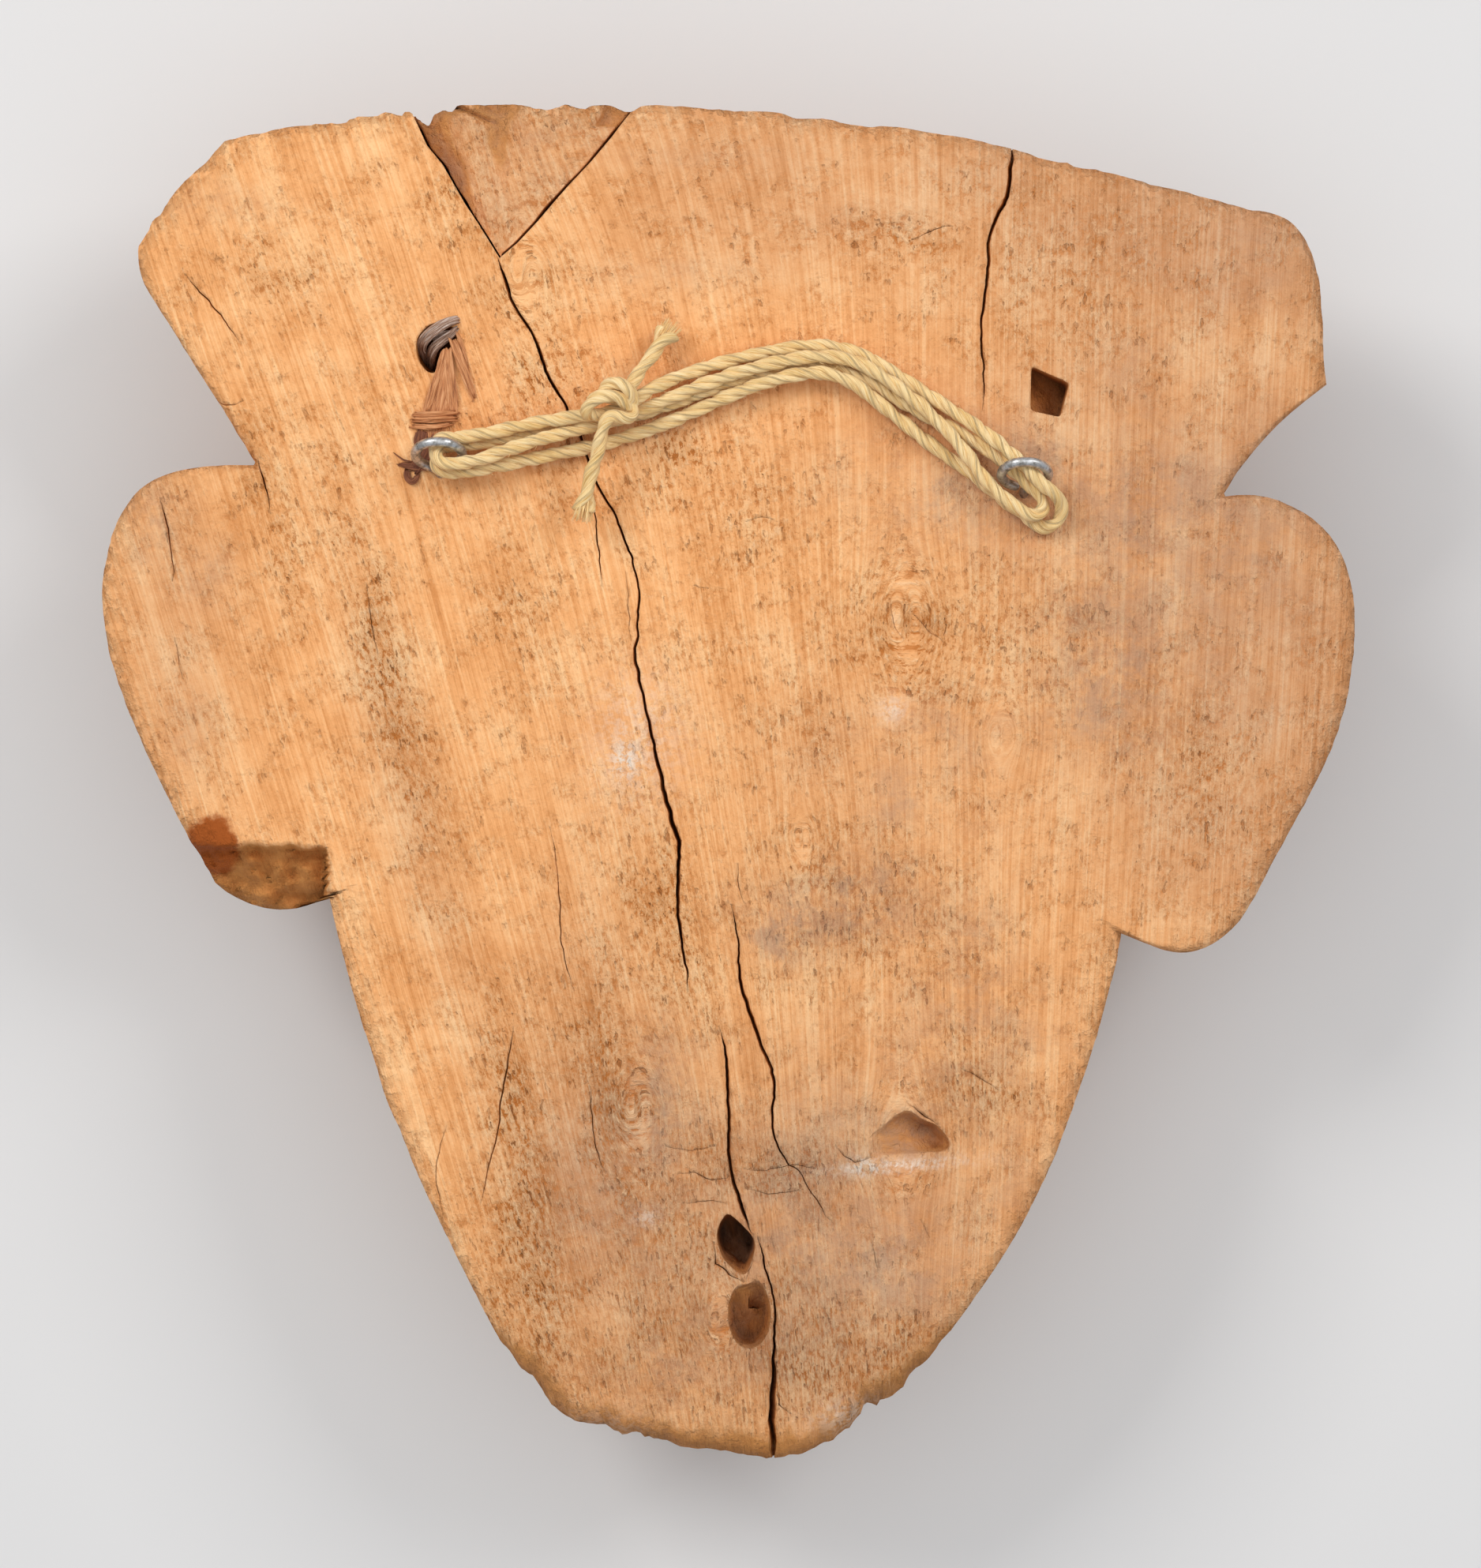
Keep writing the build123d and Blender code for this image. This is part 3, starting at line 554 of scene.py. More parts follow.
def crack_blade(path, widths, depth, seed):
    """The space of one drying crack: along its path a slot that is widths millimetres wide at the top and
    nearly closed at the bottom. It zigzags a little and its width breathes."""
    line, width, run = resampled(path, 0.9, widths)
    heading = np.gradient(line, axis=0)
    heading /= np.linalg.norm(heading, axis=1, keepdims=True)
    aside = np.stack([-heading[:, 1], heading[:, 0]], 1)
    taper = np.minimum(1, np.minimum(run + 0.4, run[-1] - run + 0.4) / 5)
    wobble = ((layered_noise(run, run * 0, 2.6, seed) - 0.5) * 0.9
              + (lattice_noise(run, run * 0, 11, seed + 5) - 0.5) * 1.4)
    line = line + aside * (wobble * np.minimum(1, taper * 2) / 1000)[:, None]
    width = width * taper * (0.75 + 0.5 * layered_noise(run, run * 0, 4.0, seed + 9)) / 1000
    deep = depth / 1000 * taper ** 0.5 * (0.8 + 0.4 * lattice_noise(run, run * 0, 9, seed + 3))
    shift = aside * ((lattice_noise(run, run * 0, 14, seed + 4) - 0.5) * 0.002)[:, None]
    rings = []
    for side, level, share in ((1, 0.004, 1.25), (-1, 0.004, 1.25), (-1, -1, 0.12), (1, -1, 0.12)):
        z = back_z + level if level > 0 else back_z - deep - 0.0008
        offset = aside * (side * width / 2 * share)[:, None]
        rings.append(np.c_[line + offset + (shift if level < 0 else 0), z * np.ones(len(line))])
    points = np.stack(rings, 1).reshape(-1, 3)
    end = (len(line) - 1) * 4
    ends = [[3, 2, 1, 0], [end, end + 1, end + 2, end + 3]]
    return points, ring_faces(len(line), 4).tolist() + ends


def hole_space(corners, depths, shrink, seed, lean=(0, 0), rows=12, roughness=0.35, rounding=14):
    """The space of one hole: its mouth is a smoothed outline through corner points in millimetres, and each
    row below it is smaller by shrink and moved by lean, down to depths, which is given at each corner, so
    that its floor may slope."""
    corners = np.array(corners, float)
    count = 64
    around = np.linspace(0, len(corners), count, endpoint=False)
    i = around.astype(int)
    t = (around - i)[:, None]
    size = len(corners)
    mouth = corners[i % size] * (1 - t) + corners[(i + 1) % size] * t
    for _ in range(rounding):
        mouth = (np.roll(mouth, 1, 0) + 2 * mouth + np.roll(mouth, -1, 0)) / 4
    floor_depth = np.interp(around, np.arange(len(corners) + 1), np.r_[depths, depths[0]])
    heart = mouth.mean(0)
    rings = []
    for row in range(rows + 1):
        down = max(0.0, (row - 1) / (rows - 1))
        rough = (layered_noise(around * 0.9, around * 0 + row * 0.9, 1.0, seed) - 0.5) * 2 * roughness
        size = 1 - shrink * down ** 2 + (0.10 * np.exp(-row * 1.2) if row else 0.16)
        place = heart + (mouth - heart) * size + (mouth - heart) / 6 * rough[:, None] + np.array(lean) * down
        z = np.full(count, 4.0) if row == 0 else -floor_depth * down
        rings.append(np.c_[place, z])
    points = np.concatenate(rings)
    points = np.r_[points, [[*heart, 4.0]], [[*(heart + lean), -np.mean(depths)]]]
    points = points / 1000 + np.array((0, 0, back_z))
    made = []
    for row in range(rows):
        n = np.arange(count)
        nxt = (n + 1) % count
        made += (np.stack([row * count + nxt, row * count + n, (row + 1) * count + n, (row + 1) * count + nxt],
                          1).tolist())
    n = np.arange(count)
    nxt = (n + 1) % count
    top_at, low_at = (rows + 1) * count, (rows + 1) * count + 1
    made += np.stack([np.full(count, top_at), n, nxt], 1).tolist()
    made += np.stack([np.full(count, low_at), rows * count + nxt, rows * count + n], 1).tolist()
    return points, made


main_crack = [(-50.8, 115.6), (-49.6, 111.7), (-48.0, 106.5), (-46.1, 102.8), (-43.1, 97.7), (-40.8, 93.0),
              (-38.4, 87.4),
              (-35.9, 81.4), (-32.8, 74.8), (-28.4, 64.3), (-25.5, 59.1), (-21.8, 49.1), (-20.0, 42.5), (-20.2, 32.5),
              (-20.8, 29.2), (-18.8, 15.9), (-15.8, 3.2), (-13.5, -6.1), (-11.3, -12.8), (-10.9, -24.1),
              (-10.4, -34.1), (-9.0, -46.5)]
main_widths = [1.2, 0.8, 0.8, 0.7, 0.8, 0.9, 0.9, 0.8, 0.7, 0.6, 0.6, 0.6, 0.6, 0.6, 0.8, 0.9, 1.1, 1.3, 1.2, 0.9,
               0.8, 0.4]
# the others, each with its path, its widths along it, and its depth, in millimetres
drying_cracks = (
    ([(0.5, -27), (1.6, -36), (3.2, -46), (5.5, -52), (8.4, -62.6), (9.4, -69.9), (9.9, -76.8), (11.1, -80.7),
      (13.1, -84.6), (15.3, -86), (18, -90.4), (19.9, -93.3), (22.1, -97)],
      [0.3, 0.5, 1.0, 1.1, 1.0, 0.7, 0.6, 0.5, 0.4,
                                                                              0.3, 0.3, 0.4, 0.25], 9),
    ([(62.3, 142), (61.1, 128.7), (57.7, 120), (56.4, 107.8), (55.4, 95.7), (55.9, 81.7)],
     [1.3, 1.1, 0.9, 0.8, 0.6, 0.25], 9),
    ([(-125.3, 62.6), (-124.2, 54), (-122.6, 44)], [0.7, 0.6, 0.4], 5),
    ([(-104.1, 71.5), (-100.6, 59.1)], [0.9, 0.3], 5),
    ([(-119.5, 112), (-112, 103), (-107.5, 96.5)], [0.6, 0.5, 0.3], 4),
    ([(-47.4, -54), (-48.6, -62), (-50.0, -70), (-51.5, -80), (-55.5, -93)], [0.4, 0.7, 0.7, 0.6, 0.3], 3),
    ([(-116, 86), (-111, 83.5), (-107, 84)], [0.9, 0.7, 0.3], 3),
    ([(39.5, 119.5), (45, 121.2), (49.5, 122)], [0.35, 0.6, 0.3], 1.5),
    ([(-39.2, -10), (-38.6, -20), (-37.4, -31), (-34.4, -46)], [0.3, 0.4, 0.5, 0.3], 2.5),
    ([(-80.1, 42), (-78.6, 36), (-77.0, 28)], [0.3, 0.45, 0.3], 2),
    ([(-31, 67.8), (-29.8, 59.1), (-28.5, 49.8), (-27.6, 43)], [0.4, 0.5, 0.5, 0.25], 4),
    ([(-22.6, 46), (-22.9, 38), (-21.6, 31)], [0.2, 0.35, 0.2], 2),
    ([(-122.3, 32), (-120.9, 22.6)], [0.4, 0.3], 3),
    ([(1.5, -18), (2.4, -23), (3.8, -27.5)], [0.2, 0.35, 0.2], 2),
    ([(-11.5, -86.8), (-7.5, -85.9), (-3.5, -87.2), (0.2, -86.6)], [0.25, 0.5, 0.45, 0.3], 1.3),
    ([(3.3, -85.0), (8, -85.9), (13, -85.0), (19, -85.4)], [0.3, 0.5, 0.4, 0.3], 1.2),
    ([(-10, -92.6), (-5, -91.8), (-0.6, -92.5)], [0.25, 0.45, 0.3], 1.2),
    ([(3.8, -89.2), (9, -90), (16.5, -89.2)], [0.3, 0.4, 0.25], 1.2),
    ([(-14, -80.5), (-9, -81.6), (-3, -81.0)], [0.25, 0.4, 0.25], 1.1),
    ([(23.2, -80.4), (25.4, -83), (27.6, -84), (31.5, -82.8)], [0.3, 0.5, 0.5, 0.3], 2),
    ([(39.2, -70.4), (42.6, -74.2), (46, -75.8)], [0.3, 0.8, 0.9], 4),
    ([(35.4, 40.5), (36.8, 34.6), (39.8, 31.0)], [0.25, 0.5, 0.3], 1.8),
    ([(39.5, 38.5), (43.5, 32.5), (47.6, 29.6)], [0.25, 0.7, 0.4], 2.2),
    ([(31.4, -101.5), (32.6, -105.8), (33.4, -108)], [0.25, 0.4, 0.25], 1.5),
    ([(42.2, -96.4), (44.2, -100.6)], [0.3, 0.3], 1.5),
    ([(51.2, -63.4), (55.4, -65.4), (59.6, -67.6)], [0.25, 0.5, 0.25], 1.6),
    ([(-31.2, -67), (-30.6, -74), (-29.6, -80), (-26.8, -86)], [0.25, 0.5, 0.5, 0.25], 2),
    ([(-62.4, -76), (-64.5, -88), (-63.4, -97)], [0.2, 0.4, 0.2], 1.5),
    ([(10.4, 56.8), (7.6, 58.0), (3.8, 57.0)], [0.2, 0.35, 0.2], 1.0),
    ([(-7.8, 43.2), (-6.4, 42.6), (-4.6, 42.6)], [0.3, 0.45, 0.25], 1.2))
late_cracks = (
    ([(-2, -53.9), (-0.8, -64.1), (0, -72.4), (0.4, -79.7), (1.4, -88.0), (3.1, -94.3), (5.0, -100)],
     [0.4, 0.9, 0.9, 1.0, 1.0, 1.0, 0.7], 10),
    ([(6.4, -100.2), (7.5, -104.6), (9.2, -111.9), (9.9, -118.7), (9.5, -126.0), (9.8, -131), (9.3, -141),
      (9.8, -152)],
     [0.6, 0.5, 0.5, 0.6, 0.8, 1.3, 1.9, 1.7], 13),
    ([(-3.2, -101.5), (-3.3, -106.4), (0.4, -109.3), (3.4, -110.1)], [0.3, 0.5, 0.55, 0.4], 3),
    ([(3.6, -110.1), (4.9, -107.2), (5.4, -104.4)], [0.4, 0.5, 0.3], 3),
    ([(10.4, -134), (11.0, -137.5), (13.4, -139.5)], [0.5, 0.7, 0.3], 4))
cracks = ([crack_blade(main_crack, main_widths, 11, 101)]
          + [crack_blade(*crack, 111 + 10 * n) for n, crack in enumerate(drying_cracks)])
later_cracks = [crack_blade(*crack, 801 + 10 * n) for n, crack in enumerate(late_cracks)]
holes = [
    hole_space([(-65.9, 89.6), (-63.4, 91.0), (-61.0, 94.0), (-59.6, 98.4), (-61.5, 101.0), (-66, 101.2),
                (-69.2, 97.6), (-68.8, 92.8)], [14, 14, 14, 13, 12, 12, 14, 15], 0.25, 301),
    hole_space([(66.4, 81.8), (73.0, 80.3), (75.0, 87.8), (66.6, 91.6)], [4.5, 9, 13, 10], 0.05, 311, roughness=0.15,
               rounding=3),
    hole_space([(-0.3, -94.8), (1.9, -96.8), (5.4, -100.2), (5.9, -102.8), (4.8, -106.3), (3.6, -109.2),
                (0.9, -107.6), (-1.3, -105.3), (-2.4, -102.6), (-2.8, -99.2), (-1.8, -96.8)],
               [12, 16, 18, 17, 11, 7, 7, 9, 14, 17, 15], 0.25, 321, roughness=0.3, rounding=8),
    hole_space([(1.4, -111.4), (3.8, -110.6), (6.7, -109.8), (8.8, -112.9), (9.3, -117.3), (8.6, -122), (6.7, -124.3),
                (4.3, -125.1), (1.4, -124), (-0.2, -120.2), (-0.4, -115.3), (0.5, -112.6)],
               [3, 3, 3.5, 5.5, 8, 9, 9, 9.5, 9, 8, 6, 4], 0.22, 331, roughness=0.35, rounding=8),
    hole_space([(29.7, -78.7), (32.6, -76.6), (36.0, -73.8), (39.4, -71.9), (42.9, -74.6), (45.8, -75.5),
                (49.7, -80.4), (47.2, -81.6), (43.3, -81.8), (36.0, -82.3), (31.1, -82.8)],
                [2, 3, 4, 4.6, 6.5, 8, 7.5, 5.5, 4, 3, 2.4],
               0.3, 341, rounding=6)]
tunnel_line = np.array([(1.6, -101.0), (2.6, -107.5), (4.6, -116.5)]) / 1000
tunnel_line = np.c_[tunnel_line, back_z - np.array((0.0115, 0.0100, 0.0082))]
tunnel = tube(tunnel_line, np.tile((1.0, 0, 0), (3, 1)), np.tile((0, 0, 1.0), (3, 1)), [0.0026, 0.0020, 0.0022], 20)
v_left = np.array([(-70.9, 149.5), (-66.6, 140.2), (-63.1, 135.9), (-61.0, 132.2), (-58.3, 127.5), (-55.5, 123.3),
                   (-53.2, 119.6), (-50.6, 115.4)]) / 1000
v_right = np.array([(-20.4, 149.5), (-25.8, 142.2), (-30.5, 136.6), (-35.4, 131.4), (-38.2, 128.2), (-42.2, 123.5),
                    (-46.6, 118.8), (-50.6, 115.4)]) / 1000
v_edge = np.r_[v_left, v_right[-2::-1], [(-0.016, 0.160)], [(-0.076, 0.160)]]
v_size = len(v_edge)
v_floor = back_z - 0.0158
v_points = np.r_[np.c_[v_edge, np.full(v_size, v_floor)], np.c_[v_edge, np.full(v_size, back_z + 0.004)]]
v_space = (v_points, [list(range(v_size))[::-1], list(range(v_size, 2 * v_size))]
           + [[n, (n + 1) % v_size, (n + 1) % v_size + v_size, n + v_size] for n in range(v_size)])


def outward_faces(mesh):
    """Turns every face of a closed mesh outwards."""
    shape = bmesh.new()
    shape.from_mesh(mesh)
    bmesh.ops.recalc_face_normals(shape, faces=shape.faces)
    shape.to_mesh(mesh)
    shape.free()


def cut_away(piece, spaces):
    """Takes a list of (points, faces) out of a piece, one after another, and keeps the result as its mesh."""
    for points, faces in spaces:
        cutter = add_piece("space", points, faces, [])
        outward_faces(cutter.data)
        cut = piece.modifiers.new("cut", "BOOLEAN")
        cut.operation = "DIFFERENCE"
        cut.solver = "MANIFOLD"
        cut.object = cutter
        bpy.context.view_layer.update()
        result = bpy.data.meshes.new_from_object(piece.evaluated_get(bpy.context.evaluated_depsgraph_get()))
        piece.modifiers.clear()
        piece.data = result
        bpy.data.objects.remove(cutter)


def grain_coordinates(x, y):
    """Across and along the grain. Lines lean in towards the chin on the left, stand upright on the right, and
    part round each knot as water round a post: across less the post's share R^2 / (r^2 + R^2 / 3)."""
    lean = 0.25 - 0.25 * rise(x, -0.05, 0.07)
    fan = 1 + 0.5 * (y - 0.02)
    across = (x + lean * (y - 0.015) + 0.05 * np.maximum(y - 0.07, 0) * rise(-x, 0.0, 0.08)) / fan
    for at, size in (((39, 36), 5.5), ((38, -79), 6.5), ((16, -12.5), 2.6), ((-45, 112), 4.0), ((-2, -118), 4.0),
                     ((-20, -72), 5.0), ((60, 10), 3.5)):
        dx, dy = x - at[0] / 1000, y - at[1] / 1000
        radius = size / 1000
        across = across - dx * radius ** 2 / (dx ** 2 + 0.35 * dy ** 2 + radius ** 2 / 3)
    across = across + 0.0022 * (layered_noise(x, y * 0.3, 0.03, 71) - 0.5)
    return across, y - lean * x * 0.5


stains = ((60, 66, 34, 14, 0.8), (95, 40, 30, 34, 0.55), (118, 62, 16, 18, 0.5), (43, 10, 26, 9, 0.5),
          (22, -28, 18, 8, 0.9),
          (12, -36, 9, 6, 0.7), (30, -20, 9, 5, 0.8), (36, -5, 6, 8, 0.7), (52, -60, 28, 18, 0.55),
          (20, -100, 30, 26, 0.65),
          (-14, -70, 10, 18, 0.7), (-28, -95, 12, 16, 0.5), (-10, -130, 30, 14, 0.5), (84, 20, 12, 20, 0.5),
          (116, 116, 9, 12, 0.5),
          (-128, 58, 9, 12, 0.55), (-115, 45, 6, 8, 0.5), (-119, 10, 6, 10, 0.4), (-45, 143, 14, 5, 0.5),
          (30, 124, 10, 3, 0.5),
          (-10, 112, 16, 4, 0.4), (90, 90, 10, 16, 0.4), (-112, 128, 12, 5, 0.35), (-6, 137, 20, 3, 0.35),
          (55, -28, 10, 24, 0.35), (38, -78, 9, 5, 1.2), (40, -108, 12, 14, 0.5), (62, -88, 8, 14, 0.4))
torn = ((-78, 30, 6, 34, 0.8), (-40, 95, 9, 26, 0.7), (-14, 76, 12, 12, 0.6), (-58, 128, 8, 12, 0.5),
        (-15, -28, 8, 20, 0.9),
        (-24, -70, 10, 26, 0.9), (-46, -75, 6, 24, 1.0), (30, -30, 26, 16, 0.55), (38, 32, 12, 14, 0.8),
        (55, -68, 12, 10, 0.8),
        (12, -85, 20, 7, 0.9), (-44, -118, 9, 26, 1.0), (28, -128, 24, 12, 0.9), (-66, 0, 6, 24, 0.5),
        (66, 32, 20, 14, 0.6),
        (-100, 62, 8, 20, 0.5), (104, 2, 14, 18, 0.5), (5, 60, 16, 14, 0.4), (-100, 112, 12, 8, 0.6),
        (34, 120, 12, 6, 0.6),
        (-46, 40, 7, 20, 0.5), (75, 110, 22, 20, 0.35), (-5, -118, 30, 26, 0.5), (12, 20, 14, 26, 0.25))


def wood_marks(x, y, z, inset):
    """What the wood's colour reads at each point, from 0 to 1: stained, torn, painted shade that deepens in a hole or
    crack (the torn wood's own colour on broken and crumbled faces), and near the edge, then rusty, dusty and shaded."""
    wander = layered_noise(x, y, 0.012, 81)
    stained = sum(w * patch(x, y, (a, b), c, d) for a, b, c, d, w in stains)
    stained = np.clip(stained * (0.35 + 1.3 * wander), 0, 1)
    scaly = sum(w * patch(x, y, (a, b), c, d, -0.2) for a, b, c, d, w in torn)
    scaly = np.clip(scaly * (0.4 + 1.2 * layered_noise(x, y, 0.008, 91)), 0, 1)
    sunk = back_z - z - surface_drop(x, y, inset)
    # inside: painted shade, darker with depth below the surface in holes and cracks; on the broken end and the
    # crumbled chin edge it carries the torn wood's own colour
    inside = np.clip(sunk / 0.016, 0, 1) * rise(inset, 0.0026, 0.0036) * rise(z, rim_z + 0.0012, rim_z + 0.002)
    on_back = rise(z, rim_z, rim_z + 0.004)
    inside = np.maximum(inside, 0.26 * on_back * broken_end(x, y) * (0.2 + 1.2 * layered_noise(x, y, 0.003, 97)))
    crumbled = rise(-y, 0.116, 0.130) * np.exp(-inset * 1000 / 2.6) * layered_noise(x, y, 0.0028, 95)
    inside = np.maximum(inside, 0.50 * crumbled * rise(z, back_z - 0.012, back_z - 0.003))
    edge_wear = np.exp(-inset * 1000 / 3.5)
    rusty = (patch(x, y, (-114, -14), 7, 8) + 0.35 * patch(x, y, (3, -110), 9, 14)
             + 0.3 * patch(x, y, (-122, 10), 3, 8))
    dusty = (0.9 * patch(x, y, (-23, 4.5), 2.2, 3.4) + 0.5 * patch(x, y, (36, 16), 3, 3)
             + 0.5 * patch(x, y, (-18, -96), 3, 2)
             + 0.35 * patch(x, y, (-20, 10), 10, 14) + 0.4 * patch(x, y, (-30, -148), 12, 8)
             + 0.5 * patch(x, y, (28, -140), 10, 4))
    dusty = dusty + 0.9 * patch(x, y, (37.5, -84.6), 9.5, 1.5, 8.0) + 0.8 * patch(x, y, (29.5, -84.6), 3, 2)
    dusty = dusty * rise(z, back_z - 0.010, back_z - 0.004)
    shade = (0.75 * rise(x, 0.045, 0.125) * rise(y, -0.07, -0.02) + 0.75 * patch(x, y, (14, -100), 52, 42)
             + 0.55 * patch(x, y, (-32, -70), 16, 50) + 0.4 * patch(x, y, (60, 85), 30, 40)
             + 0.55 * rise(y, 0.095, 0.125) * rise(x, -0.05, -0.01)
             + 0.5 * patch(x, y, (-122, 30), 16, 34) + 0.45 * patch(x, y, (-70, -5), 9, 50, -0.25)
             + 0.35 * patch(x, y, (30, 0), 30, 30))
    shade = shade * (0.6 + 0.8 * layered_noise(x, y, 0.022, 99))
    return (np.stack([stained, scaly, inside, edge_wear], 1),
            np.stack([rusty, dusty, shade, inset * 0 + 1], 1).clip(0, 1))


def mark_wood(piece, carved=False, sunk=None):
    """Gives a wooden piece its grain map and its two sets of marks, from where its points are. The carved
    side is cleaner, with no painted depth shade. sunk, from 0 to 1 for each point, stains a torn face and paints
    shade on it that deepens as sunk grows."""
    place = np.empty(len(piece.data.vertices) * 3)
    piece.data.vertices.foreach_get("co", place)
    x, y, z = place.reshape(-1, 3).T
    inset = edge_distance(np.arctan2(y - middle[1], x - middle[0])) - np.hypot(x - middle[0], y - middle[1])
    inset = np.clip(inset, 0, 1)
    across, along = grain_coordinates(x, y)
    add_uv(piece, "grain", across, along + 0.6 * (back_z - z))
    marks, dirt = wood_marks(x, y, z, inset)
    if carved:
        marks *= (0.3, 0.35, 0, 0)
        dirt *= (0, 0, 0.5, 1)
    if sunk is not None:
        # the sunk parts take painted depth shade as well as stain
        marks[:, 2] = sunk
        marks[:, 0] = np.maximum(marks[:, 0], 0.30 + 0.5 * rise(sunk, 0.02, 0.2))
        marks[:, 1] = 0.35
        dirt[:, 2] = 0.45
    for name, values in (("marks", marks), ("dirt", dirt)):
        layer = piece.data.color_attributes.new(name=name, type="FLOAT_COLOR", domain="POINT")
        layer.data.foreach_set("color", values.astype(np.float32).ravel())


old_wood, tree, shader = new_material("old_soft_wood", 0.78)
grain = wire_up(tree, "ShaderNodeUVMap", {"uv_map": "grain"}).outputs["UV"]
marks = wire_up(tree, "ShaderNodeVertexColor", {"layer_name": "marks"})
dirt = wire_up(tree, "ShaderNodeVertexColor", {"layer_name": "dirt"})
marks_apart = wire_up(tree, "ShaderNodeSeparateColor", Color=marks.outputs["Color"])
dirt_apart = wire_up(tree, "ShaderNodeSeparateColor", Color=dirt.outputs["Color"])
space = wire_up(tree, "ShaderNodeTexCoord").outputs["Object"]


def grain_noise(across, along, detail=4.0, roughness=0.55, distortion=0.0):
    """Noise stretched along the grain: so many features to the metre across it and along it."""
    stretched = wire_up(tree, "ShaderNodeMapping", Vector=grain, Scale=(across, along, 1.0))
    return wire_up(tree, "ShaderNodeTexNoise", Vector=stretched.outputs["Vector"], Scale=1.0, Detail=detail,
                   Roughness=roughness, Distortion=distortion).outputs["Fac"]


def spot_noise(scale, detail=4.0, roughness=0.6):
    """Noise with no direction, so many features to the metre."""
    return wire_up(tree, "ShaderNodeTexNoise", Vector=space, Scale=scale, Detail=detail,
                   Roughness=roughness).outputs["Fac"]


def sum_of(operation, one, two):
    """One sum on two values."""
    return wire_up(tree, "ShaderNodeMath", {"operation": operation}, in0=one, in1=two).outputs[0]


def times(one, two):
    """One value times another."""
    return sum_of("MULTIPLY", one, two)


def plus(one, two):
    """One value and another."""
    return sum_of("ADD", one, two)


def between(value, low, high, low_out=0.0, high_out=1.0):
    """A value's place between two limits, held at both ends, as a smooth step."""
    return wire_up(tree, "ShaderNodeMapRange", {"interpolation_type": "SMOOTHSTEP"}, Value=value, in1=low, in2=high,
                   in3=low_out, in4=high_out).outputs["Result"]


def layer_colour(below, above, amount, blend="MIX"):
    """One colour laid over another by an amount."""
    return wire_up(tree, "ShaderNodeMix", {"data_type": "RGBA", "blend_type": blend}, Factor=amount, in6=below,
                   in7=above).outputs[2]


fibres = grain_noise(2600, 55, 3.0, 0.6)
growth_lines = grain_noise(1100, 9, 2.0, 0.5)
bands = grain_noise(120, 3.4, 3.0, 0.5)
mottle = spot_noise(58, 5.0, 0.62)
grit = spot_noise(1900, 3.0, 0.7)
flakes = grain_noise(880, 430, 4.0, 0.72)
tears = grain_noise(640, 250, 3.0, 0.6)

torn_here = plus(times(marks_apart.outputs["Green"], 0.9),
                   between(spot_noise(120, 4.0, 0.65), 0.43, 0.64, 0.14, 0.58))
mixed_tone = plus(times(growth_lines, 0.28), times(bands, 0.20))
mixed_tone = plus(mixed_tone, times(fibres, 0.22))
mixed_tone = plus(mixed_tone, times(mottle, 0.30))
tone = ramp(tree, mixed_tone, (0.39, 0.69, 0.285, 0.090), (0.49, 0.875, 0.42, 0.165), (0.60, 0.98, 0.585, 0.285))
colour = layer_colour(tone, (0.70, 0.72, 0.86, 1), dirt_apart.outputs["Blue"], "MULTIPLY")
torn_amount = times(torn_here, between(flakes, 0.505, 0.60))
colour = layer_colour(colour, (0.56, 0.185, 0.038, 1), times(torn_amount, 0.95))
# painted highlight: a pale colour on the raised side of each flake, standing in for the light it catches
painted_flake_highlight = times(torn_here, between(flakes, 0.36, 0.46, 1.0, 0.0))
colour = layer_colour(colour, (0.98, 0.66, 0.38, 1), times(painted_flake_highlight, 0.5))
tear_amount = times(torn_here, between(tears, 0.61, 0.67))
colour = layer_colour(colour, (0.40, 0.135, 0.032, 1), times(tear_amount, 0.80))
# painted shade: the wood darkens with depth in holes, cracks and the wedge's sunken parts, down to near black; at
# shallow depths the ramp is the torn wood's orange-brown
depth_for_shade_and_torn_tone = plus(marks_apart.outputs["Blue"], times(sum_of("SUBTRACT", flakes, 0.5), 0.5))
torn_tone_to_painted_depth_shade = ramp(tree, depth_for_shade_and_torn_tone, (0.0, 0.66, 0.29, 0.085), (0.4, 0.40, 0.135, 0.028), (1.0, 0.10, 0.034, 0.010))
colour = layer_colour(colour, torn_tone_to_painted_depth_shade, between(marks_apart.outputs["Blue"], 0.012, 0.08))
stain_amount = times(marks_apart.outputs["Red"], between(spot_noise(170, 5.0, 0.7), 0.36, 0.64, 0.25, 1.0))
colour = layer_colour(colour, (0.40, 0.245, 0.165, 1), times(stain_amount, 0.66))
edge_amount = times(marks.outputs["Alpha"], between(spot_noise(430, 4.0, 0.65), 0.42, 0.60))
colour = layer_colour(colour, (0.42, 0.175, 0.055, 1), times(edge_amount, 0.5))
rust_amount = between(times(dirt_apart.outputs["Red"], plus(spot_noise(260, 4.0, 0.65), 0.5)), 0.38, 0.62)
dust_amount = times(dirt_apart.outputs["Green"], between(spot_noise(600, 3.0, 0.7), 0.42, 0.58, 0.15, 0.95))
colour = layer_colour(colour, (0.86, 0.74, 0.62, 1), dust_amount)
colour = layer_colour(colour, (0.36, 0.085, 0.012, 1), rust_amount)
tree.links.new(colour, shader.inputs["Base Color"])
height = plus(times(fibres, 0.18), times(growth_lines, 0.22))
height = plus(height, times(grit, 0.22))
height = sum_of("SUBTRACT", height, times(plus(torn_here, 0.12), times(flakes, 1.4)))
height = sum_of("SUBTRACT", height, times(tear_amount, 0.5))
height = sum_of("SUBTRACT", height, times(edge_amount, 0.5))
